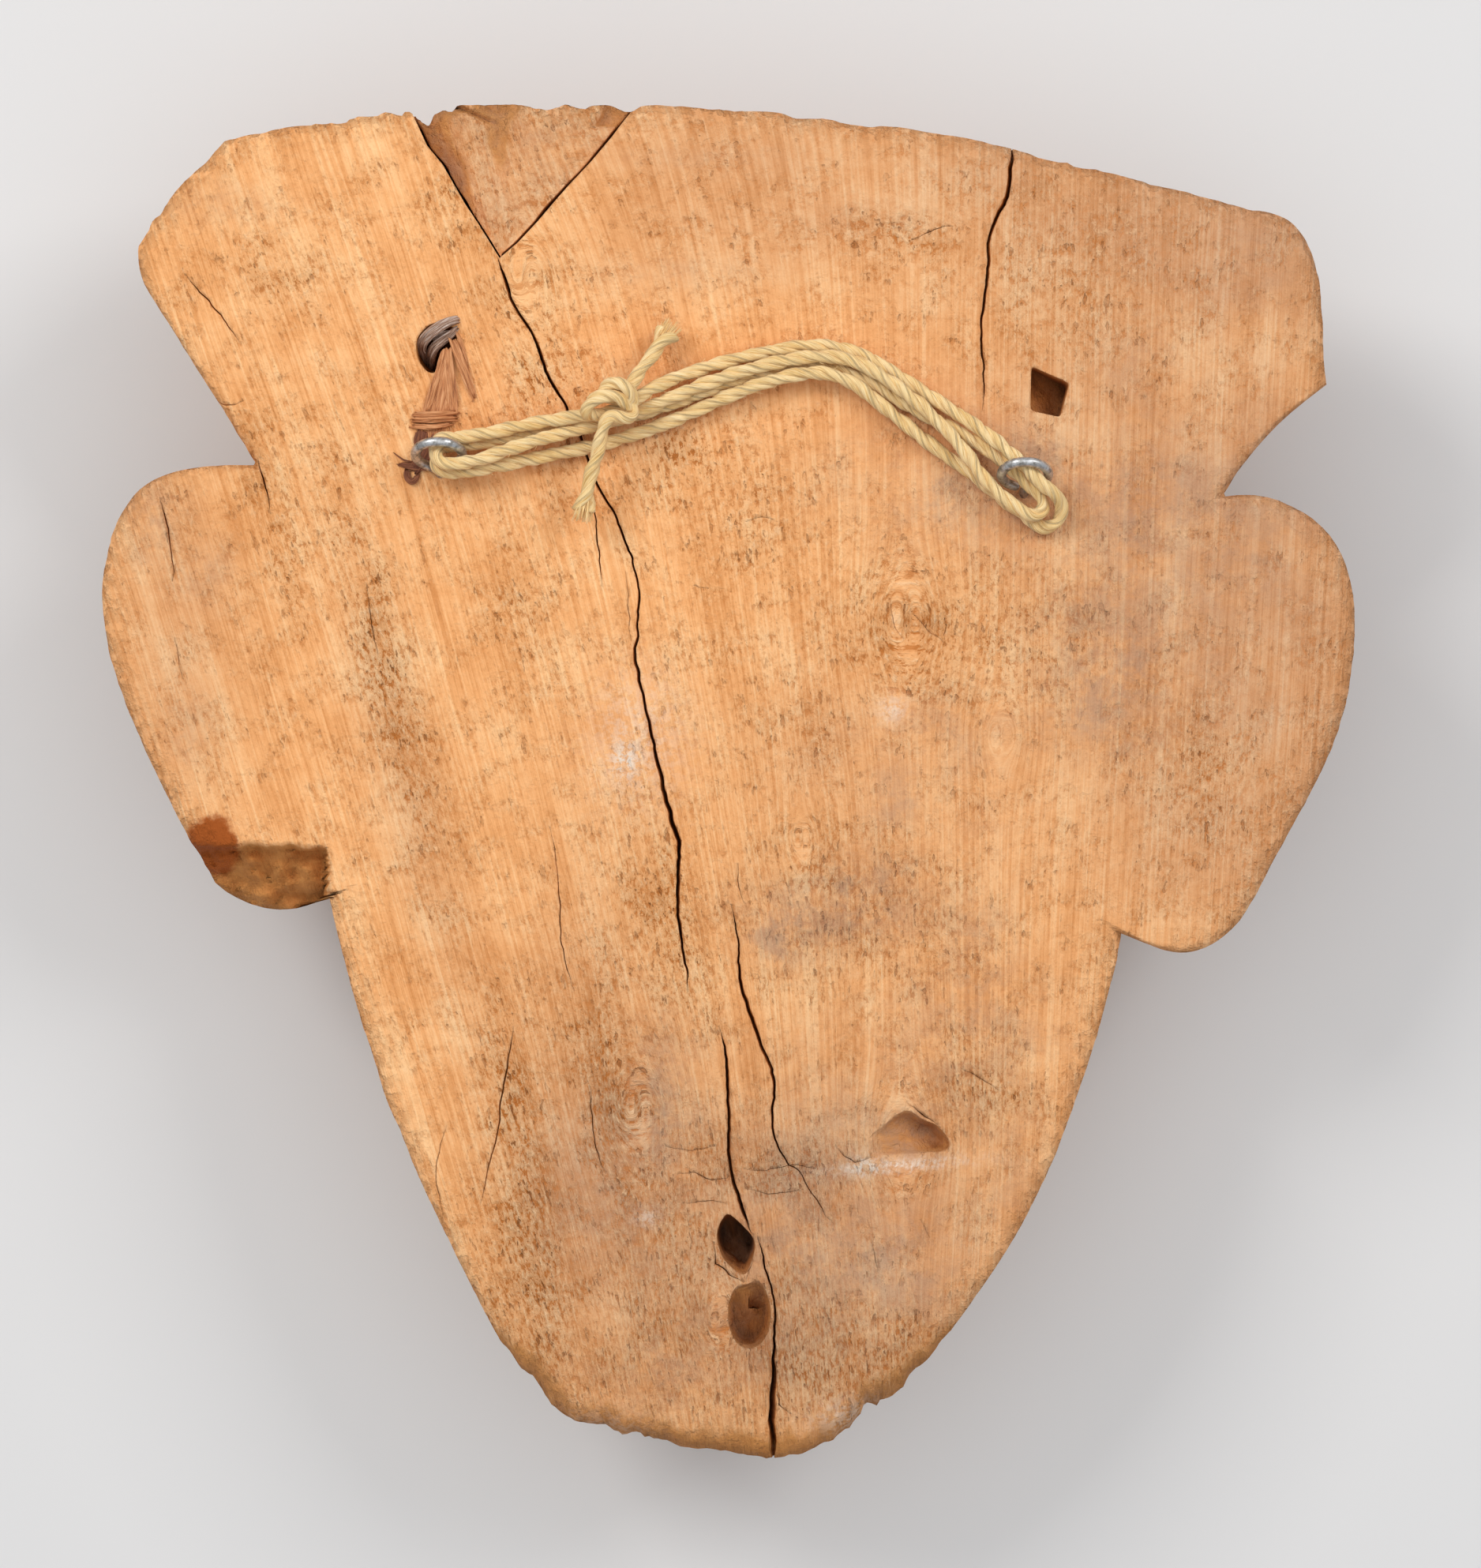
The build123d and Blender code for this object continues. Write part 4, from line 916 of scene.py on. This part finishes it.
relief = wire_up(tree, "ShaderNodeBump", Strength=1.0, Distance=0.0009, Height=height)
tree.links.new(relief.outputs["Normal"], shader.inputs["Normal"])
shader.inputs["Specular IOR Level"].default_value = 0.2

plank = add_piece("mask_plank", plank_points, plank_faces, [old_wood])
cut_away(plank, [v_space] + cracks + holes + [tunnel] + later_cracks)
mark_wood(plank)
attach(plank, "mask")
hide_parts("mask_body")

# --- The face -------------------------------------------------------------------------------------
# The carved side, which lies on the table: a domed oval with a long nose, closed eyes, full lips and
# a round chin, a grooved band over the brow, and a raised rim on each ear. It is one with the plank.


def oval(x, y, at, across, up, tilt=0.0):
    """The squared distance from a spot, in half-widths: below 1 inside the oval. A positive tilt lifts
    its outer end."""
    dx, dy = x - at[0], y - at[1]
    dy = dy - tilt * dx * np.sign(at[0])
    return (dx / across) ** 2 + (dy / up) ** 2


def carved_face(x, y):
    """How far the face stands out from the flat back, in millimetres, at x and y in millimetres: an oval
    dome, with each feature either the higher of itself and the dome, or cut into it."""
    side = np.abs(x)
    around = oval(x, y, (0, -36), 75, 106)
    depth = 20.7 + 27.0 * np.clip(1 - around ** 1.15, 0, 1) ** 0.5
    depth += 2.6 * np.exp(-oval(side, y, (40, -62), 17, 20)) - 3.2 * np.exp(-oval(side, y, (32, -20), 21, 12))
    brow = np.clip(1 - oval(side, y + 0.006 * (side - 30) ** 2, (33, -2), 25, 5.5), 0, 1)
    depth = np.maximum(depth, depth + 5.5 * brow ** 0.6)
    lid = np.clip(1 - oval(side, y, (33, -20), 17, 8.5, 0.1), 0, 1)
    lash = y + 22.5 - 0.012 * (side - 33) ** 2
    depth += 7.0 * lid ** 0.5 - 1.7 * np.exp(-(lash / 0.8) ** 2) * rise(lid, 0.02, 0.2)
    depth += 0.8 * np.exp(-((lid - 0.08) / 0.05) ** 2)
    ridge = np.interp(y, [-79, -74, -67, -62, -30, -4, 10], [40, 55, 66.5, 67.4, 58, 51, 44])
    half = np.interp(y, [-79, -72, -64, -52, -20, 2, 10], [8, 14.5, 15.5, 10.5, 7.5, 9, 6])
    nose = 38 + (ridge - 38) * np.clip(1 - (side / half) ** 2.4, 0, 1) ** 0.75
    depth += np.clip(nose - depth, 0, 40) * (side < half) * rise(y, -81, -76) * rise(-y, -12, 2)
    depth -= 5.0 * np.exp(-oval(side, y, (6.5, -75), 3.0, 2.2))
    upper_lip = np.clip(1 - oval(x, y + 2.2 * np.exp(-(side / 5) ** 2), (0, -97.5), 21, 6.5), 0, 1)
    lower_lip = np.clip(1 - oval(x, y, (0, -107.5), 18, 6.5), 0, 1)
    depth += 8.0 * upper_lip ** 0.6 + 8.5 * lower_lip ** 0.6
    depth -= 3.6 * np.exp(-((y + 102.4 - 0.004 * x ** 2) / 1.1) ** 2) * rise(21 - side, 0, 5)
    depth -= 1.2 * np.exp(-oval(x, y, (0, -88), 2.6, 5))
    chin = np.clip(1 - oval(x, y, (0, -129), 24, 14), 0, 1)
    depth = np.maximum(depth, 20.7 + 37 * chin ** 0.5 * rise(y, -146, -138))
    arc = 98 - 22 * (x / 98) ** 2
    across = (y - arc) / 13
    raised = rise(1 - np.abs(across), 0.0, 0.40) * rise(98 - side, 0, 5)
    beads = 0.9 * (0.5 - 0.5 * np.cos(x * 2 * np.pi / 8)) ** 3 * rise(0.26 - np.abs(across), 0, 0.06)
    grooves = 1.5 * np.exp(-((np.abs(across) - 0.36) * 13 / 0.8) ** 2) + beads
    depth = np.maximum(depth, 20.7 + (46.9 - grooves) * raised)
    ear = oval(side, y, (109, 16), 19, 40)
    rim = rise(1.0 - ear, 0, 0.30) * (1 - 0.72 * rise(1.0 - oval(side, y, (109, 16), 11.5, 31.5), 0, 0.4))
    depth = np.maximum(depth, 20.7 + 11.2 * rim)
    lobe = np.clip(1 - oval(side, y, (108, -8), 5, 5), 0, 1)
    depth = np.maximum(depth, 20.7 + 8.5 * lobe ** 0.5)
    tool_marks = layered_noise(x / 1000, y / 1000, 0.007, 401, 2) - 0.5
    return np.clip(depth + 0.7 * tool_marks * rise(depth, 21, 25), 0, 67.7)


share, angle = disc_of_square(steps)
reach = share * (soft_reach(angle) + (np.interp(angle, edge_turn, edge_reach, period=2 * np.pi) - soft_reach(angle))
                 * share ** 6) * 0.965
x, y = middle[0] + reach * np.cos(angle), middle[1] + reach * np.sin(angle)
z = back_z - carved_face(x * 1000, y * 1000) / 1000
face_points = np.stack([x, y, z], -1).reshape(-1, 3)
ring = around_square(steps)
lid_z = rim_z + 0.0022  # inside the plank, so that the two are one block to the eye
lid_ring = face_points[ring] * (1, 1, 0) + (0, 0, lid_z)
rings = [ring, len(face_points) + np.arange(len(ring))]
hub = len(face_points) + len(ring)
fan = np.stack([np.full(len(ring), hub), rings[1], np.roll(rings[1], -1)], 1)
face = add_piece("mask_face", np.r_[face_points, lid_ring, [[middle[0], middle[1], lid_z]]],
                 grid_faces(steps).tolist() + skirt_faces(rings).tolist() + fan.tolist(), [old_wood])
outward_faces(face.data)
mark_wood(face, carved=True)
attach(face, "mask")
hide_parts("mask_body")

# --- The crown's split wedge ----------------------------------------------------------------------
# A three-cornered piece that split off the crown and still sits in its place. Its face has sunk and
# torn into ribs that meet at its tip, and the crown's end of it is dark and broken.
rows, columns = 80, 72
b, a = np.meshgrid(np.linspace(0, 1, rows + 1), np.linspace(0, 1, columns + 1), indexing="ij")
level = 0.1157 + b * 0.0345
left_side = (np.interp(level, v_left[::-1, 1], v_left[::-1, 0]) + 0.0003
             + 0.0006 * lattice_noise(level, 0 * level, 0.003, 411))
right_side = (np.interp(level, v_right[::-1, 1], v_right[::-1, 0]) - 0.0006
              - 0.0007 * lattice_noise(level, 0 * level, 0.004, 415))
right_side = np.maximum(right_side, left_side + 0.0003)
x = left_side + (right_side - left_side) * a
y = level.copy()
for _ in range(3):
    beyond = (np.hypot(x - middle[0], y - middle[1])
              - (edge_distance(np.arctan2(y - middle[1], x - middle[0]))
                 + 0.0004 * lattice_noise(x, 0 * x, 0.004, 418)))
    y = y - np.clip(beyond, 0, 1) / 0.94
slope = 4.2 * np.exp(-(a / 0.15) ** 2) * rise(b, 0.08, 0.6)
valley = 2.4 * np.exp(-((a - 0.40) / 0.11) ** 2) * rise(b, 0.25, 0.8)
ribs = (1.0 * np.abs(2 * lattice_noise(a * 9 + 3, b * 2.2, 1.0, 421) - 1) ** 0.7
        * rise(b, 0.05, 0.3) * rise(1 - a, 0.3, 0.7))
corner_loss = 2.8 * rise(a, 0.86, 0.90) * rise(b, 0.80, 0.86)
groove = 2.0 * np.exp(-((a - 0.20 - 1.6 * (0.97 - b)) / 0.022) ** 2) * rise(b, 0.84, 0.88)
broken = 3.2 * layered_noise(x, y, 0.004, 431) * rise(b, 0.86, 0.99) * (0.35 + 0.65 * (a < 0.5))
sinking = slope + valley + 0.5 * ribs + corner_loss + groove + broken
z = (back_z - surface_drop(x, y, 0.03 + 0 * x)
     - (0.35 + sinking + 0.8 * ribs + 0.9 * layered_noise(x, y, 0.003, 441)) / 1000)
wedge_top = np.stack([x, y, z], -1).reshape(-1, 3)
width = columns + 1
border = np.r_[np.arange(columns), np.arange(rows) * width + columns, rows * width + np.arange(columns, 0, -1),
               np.arange(rows, 0, -1) * width]
low = wedge_top[border] * (1, 1, 0) + (0, 0, back_z - 0.0154)
count = len(wedge_top)
i, j = np.meshgrid(np.arange(rows), np.arange(columns), indexing="ij")
corner = (i * width + j).ravel()
squares = np.stack([corner, corner + 1, corner + width + 1, corner + width], 1)
around = count + np.arange(len(border))
fan = np.stack([np.full(len(border), count + len(border)), around, np.roll(around, -1)], 1)
wedge = add_piece("crown_split_wedge", np.r_[wedge_top, low, [low.mean(0)]],
                  squares.tolist() + skirt_faces([border, around]).tolist() + fan.tolist(), [old_wood])
outward_faces(wedge.data)
# the wedge's sunken parts and its skirt take painted depth shade through sunk
mark_wood(wedge, sunk=np.r_[rise(sinking.ravel(), 0.9, 5.0) * 0.30, np.full(len(border) + 1, 0.4)])
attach(wedge, "mask")
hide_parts("crown_wedge")

# --- The screw eyes -------------------------------------------------------------------------------
# Two galvanised steel screw eyes, each one wire bent into a ring that doesn't quite close and turned
# down into a shank. The cord has pulled both over towards the crown.
steel, tree, shader = new_material("dull_galvanised_steel", 0.36)
place = wire_up(tree, "ShaderNodeTexCoord").outputs["Object"]
spots = wire_up(tree, "ShaderNodeTexNoise", Vector=place, Scale=900.0, Detail=4.0, Roughness=0.6)
zinc = ramp(tree, spots.outputs["Fac"], (0.32, 0.20, 0.19, 0.17), (0.60, 0.62, 0.63, 0.64))
tree.links.new(zinc, shader.inputs["Base Color"])
dulled = wire_up(tree, "ShaderNodeMapRange", Value=spots.outputs["Fac"], in1=0.35, in2=0.65, in3=0.5, in4=0.28)
tree.links.new(dulled.outputs["Result"], shader.inputs["Roughness"])
shader.inputs["Metallic"].default_value = 0.85
for name, node_name, foot, opening in (("left_screw_eye_ring", "left_screw_eye", (-63.7, 68.3), 1),
                                       ("right_screw_eye_ring", "right_screw_eye", (64.9, 63.9), -1)):
    base = np.array((*foot, back_z * 1000))
    up = np.array((0, math.sin(math.radians(30)), math.cos(math.radians(30))))
    heart = base + up * 7.05
    turn = np.radians(np.linspace(14, 322, 60))[:, None]
    loop = heart + 5.15 * (np.sin(turn) * np.array((opening, 0, 0)) - np.cos(turn) * up)
    bend = [heart - up * 5.35 - np.array((opening * 1.5, 0, 0)), base + up * 0.6 - np.array((opening * 0.1, 0, 0))]
    shank = [base - up * 1.5, base - up * 7, base - up * 13.5]
    line, along = even_steps(smooth_line(np.r_[loop, bend, shank] / 1000, 6), 0.0003)
    across, other = carried_frames(line)
    worn = 0.00108 * (1 - 0.35 * np.exp(-along / 0.0004))
    ring_eye = add_piece(name, *tube(line, across, other, worn, 22), [steel])
    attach(ring_eye, "mask")
    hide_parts(node_name)

# --- The bark tie ---------------------------------------------------------------------------------
# What is left of an old tie of inner bark: a twisted loop that comes out of the left hole, strips that
# run from it down to the ring, a band wrapped over them, and a torn foot under the ring.


def bark_material(name, dark, middle_tone, light):
    """Dry bark: thin dark and light lines along the strip, of three colours."""
    made, tree, shader = new_material(name, 0.72)
    map_in = wire_up(tree, "ShaderNodeUVMap", {"uv_map": "fibres"})
    drawn_out = wire_up(tree, "ShaderNodeMapping", Vector=map_in.outputs["UV"], Scale=(2600.0, 160.0, 1.0))
    lines = wire_up(tree, "ShaderNodeTexNoise", Vector=drawn_out.outputs["Vector"], Scale=1.0, Detail=5.0,
                    Roughness=0.7)
    shades = ramp(tree, lines.outputs["Fac"], (0.34, *dark), (0.48, *middle_tone), (0.64, *light))
    tree.links.new(shades, shader.inputs["Base Color"])
    relief = wire_up(tree, "ShaderNodeBump", Strength=0.8, Distance=0.0003, Height=lines.outputs["Fac"])
    tree.links.new(relief.outputs["Normal"], shader.inputs["Normal"])
    return made


def bark_strip(path, widths, thick, roll, ribs, seed):
    """A strip of bark in millimetres: path gives x, y and height over the wood. Its section is a flattened
    oval whose faces rise and fall in ribs, it turns by roll degrees given along it, and its ends fray."""
    path = np.array(path, float)
    level = back_z - surface_drop(path[:, 0] / 1000, path[:, 1] / 1000, 0.04 + 0 * path[:, 0])
    line, along = even_steps(smooth_line(np.c_[path[:, :2] / 1000, level + path[:, 2] / 1000], 14), 0.0003)
    t = along / along[-1]
    tangent = np.gradient(line, axis=0)
    tangent /= np.linalg.norm(tangent, axis=1, keepdims=True)
    side = np.cross(tangent, (0, 0, 1))
    side /= np.linalg.norm(side, axis=1, keepdims=True)
    face_way = np.cross(side, tangent)
    angle = np.radians(np.interp(t, np.linspace(0, 1, len(roll)), roll))[:, None]
    side, face_way = side * np.cos(angle) + face_way * np.sin(angle), face_way * np.cos(angle) - side * np.sin(angle)
    half = np.interp(t, np.linspace(0, 1, len(widths)), widths)[:, None] / 2000
    turn = np.linspace(0, 2 * np.pi, 56, endpoint=False)
    flat = np.sign(np.cos(turn)) * np.abs(np.cos(turn)) ** 0.85
    fray = 1 + 0.16 * (lattice_noise(flat * 3 + 9, t[:, None] * 5, 1.0, seed) - 0.5)
    rib = 0.45 + 1.1 * np.abs(lattice_noise(flat * ribs + 20, t[:, None] * 2.2, 1.0, seed + 1) * 2 - 1) ** 0.8
    lift = np.sign(np.sin(turn)) * np.abs(np.sin(turn)) ** 0.5 * rib * thick / 2000
    ends = np.minimum(1, np.minimum(t, 1 - t)[:, None] * 14 + 0.25)
    stretch = ((lattice_noise(flat * 5 + 40, 0 * flat, 1.0, seed + 2) - 0.5) * 0.0024
               * np.exp(-np.minimum(t, 1 - t) * 16)[:, None]
               * np.sign(t - 0.5)[:, None])
    ring = (line[:, None] + side[:, None] * (half * fray * flat)[..., None]
            + face_way[:, None] * (lift * ends)[..., None]
            + tangent[:, None] * stretch[..., None])
    points, faces = tube(line, side, face_way, half, 56)
    points[:-2] = ring.reshape(-1, 3)
    across = np.r_[(half * flat + 0.01 * (turn > np.pi)).ravel(), 0, 0]
    return points, faces, across, np.r_[np.repeat(along, 56), 0, along[-1]]


def add_bark(name, material, nodes, strips):
    """Puts several strips together into one piece of the tie."""
    made = [bark_strip(*strip) for strip in strips]
    piece = add_piece(name, *gather([strip[:2] for strip in made]), [material])
    outward_faces(piece.data)
    add_uv(piece, "fibres", np.concatenate([m[2] + 0.03 * n for n, m in enumerate(made)]),
           np.concatenate([m[3] for m in made]))
    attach(piece, "mask")
    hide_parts(*nodes)


grey_bark = bark_material("weathered_bark", (0.06, 0.022, 0.010), (0.33, 0.19, 0.125), (0.78, 0.66, 0.58))
red_bark = bark_material("inner_bark", (0.16, 0.042, 0.012), (0.52, 0.20, 0.068), (0.74, 0.38, 0.18))
dark_bark = bark_material("old_bark", (0.05, 0.012, 0.005), (0.16, 0.042, 0.014), (0.34, 0.125, 0.05))
add_bark("bark_loop", grey_bark, ["bark_tie_loop"], [
    ([(-66.6, 92.6, -13.0), (-68.0, 94.8, -7.0), (-67.8, 96.9, -1.6), (-65.6, 99.2, 0.9), (-62.6, 100.9, 1.5),
      (-60.2, 101.8, 0.9),
      (-59.5, 101.9, -0.4)], [1.6, 1.9, 2.3, 2.5, 2.4, 1.6], 1.4, [60, 40, 15, -10, 5], 2.6, 501),
    ([(-66.4, 91.8, -13.0), (-66.2, 93.6, -7.5), (-65.2, 95.8, -2.0), (-62.8, 97.6, -0.6), (-61.0, 98.8, 0.2),
      (-60.3, 99.6, 0.5)],
     [1.6, 2.2, 2.4, 2.2, 1.6], 1.4, [50, 30, 0, -20], 2.6, 511),
    ([(-65.4, 97.6, -3.0), (-62.8, 98.4, -0.8), (-60.8, 98.9, -1.6)], [1.8, 2.2, 1.6], 1.2, [0, 20], 2.0, 517)])
add_bark("bark_strips", red_bark, ["bark_tie_wide_strip", "bark_tie_narrow_strip"], [
    ([(-62.3, 94.8, 0.2), (-63.0, 91.6, 0.9), (-63.6, 87.4, 0.7), (-64.4, 83.0, 0.5), (-65.2, 79.0, 0.5),
      (-65.8, 75.8, 0.4)],
     [2.2, 3.0, 4.2, 5.4, 5.6, 5.0], 0.9, [10, 0, -4, 0], 4.5, 521),
    ([(-61.8, 95.2, 0.6), (-61.8, 90.0, 1.1), (-61.4, 86.0, 0.9), (-61.1, 81.0, 0.5)],
     [1.4, 2.2, 3.0, 3.2, 2.4], 0.9, [0, -8, 0], 3.0, 531),
    ([(-63.2, 92.6, 1.0), (-64.2, 88.8, 1.2), (-65.6, 84.2, 1.0), (-66.5, 81.6, 0.8)], [0.9, 1.3, 1.4, 0.8], 0.8,
     [0, 0], 2.0, 537)])
add_bark("bark_side_strip", red_bark, ["bark_tie_side_strip"], [
    ([(-60.9, 97.2, 0.4), (-59.6, 93.6, 0.9), (-58.2, 90.2, 0.8), (-56.9, 86.6, 0.5), (-56.2, 84.6, 0.3)],
     [1.6, 2.0, 2.2, 1.8, 1.0], 0.9, [15, 5, 0], 2.5, 541),
    ([(-60.4, 99.4, 0.3), (-59.4, 97.6, 0.7), (-58.6, 95.4, 0.4), (-57.6, 91.8, 0.3)], [0.5, 0.8, 0.7, 0.3], 0.6,
     [0, 0], 1.0, 545)])
add_bark("bark_band", red_bark, ["bark_tie_band"], [
    ([(-69.3, 81.0, 0.2), (-66.2, 80.8, 1.9), (-62.8, 81.0, 1.9), (-60.0, 81.4, 0.5)], [1.2, 1.3, 1.3, 1.1], 1.3,
     [0, 0], 1.2, 551),
    ([(-69.5, 79.7, 0.2), (-66.2, 79.5, 2.0), (-62.8, 79.8, 2.0), (-60.3, 80.0, 0.5)], [1.2, 1.3, 1.4, 1.2], 1.4,
     [0, 0], 1.2, 555),
    ([(-69.7, 78.3, 0.2), (-66.2, 78.0, 1.8), (-63.2, 78.3, 1.9), (-61.4, 78.8, 0.6)], [1.0, 1.3, 1.2, 0.8], 1.3,
     [0, 0], 1.2, 559)])
add_bark("bark_foot", dark_bark, ["bark_tie_foot"], [
    ([(-66.0, 77.0, 0.4), (-66.6, 73.6, 0.4), (-68.0, 70.6, 0.4), (-69.2, 68.6, 0.3)], [6.6, 5.8, 4.2, 2.2], 0.9,
     [0, 0], 4.0, 561),
    ([(-72.6, 69.9, 0.2), (-69.2, 69.4, 0.7), (-66.0, 69.2, 0.3)], [1.0, 1.9, 1.4], 0.8, [0, 8], 2.0, 565),
    ([(-70.8, 69.0, 0.3), (-71.2, 67.2, 0.5), (-70.0, 65.9, 0.7), (-68.8, 66.6, 0.6), (-68.6, 68.0, 0.4)],
     [1.2, 1.5, 1.5, 1.3, 1.0], 0.7, [0, 15, 0], 2.0, 567),
    ([(-73.4, 72.1, 0.4), (-72.0, 70.9, 1.0), (-70.8, 70.6, 0.9), (-69.6, 70.5, 0.4)], [0.35, 0.4, 0.3], 0.35,
     [0, 0], 1.0, 571)])
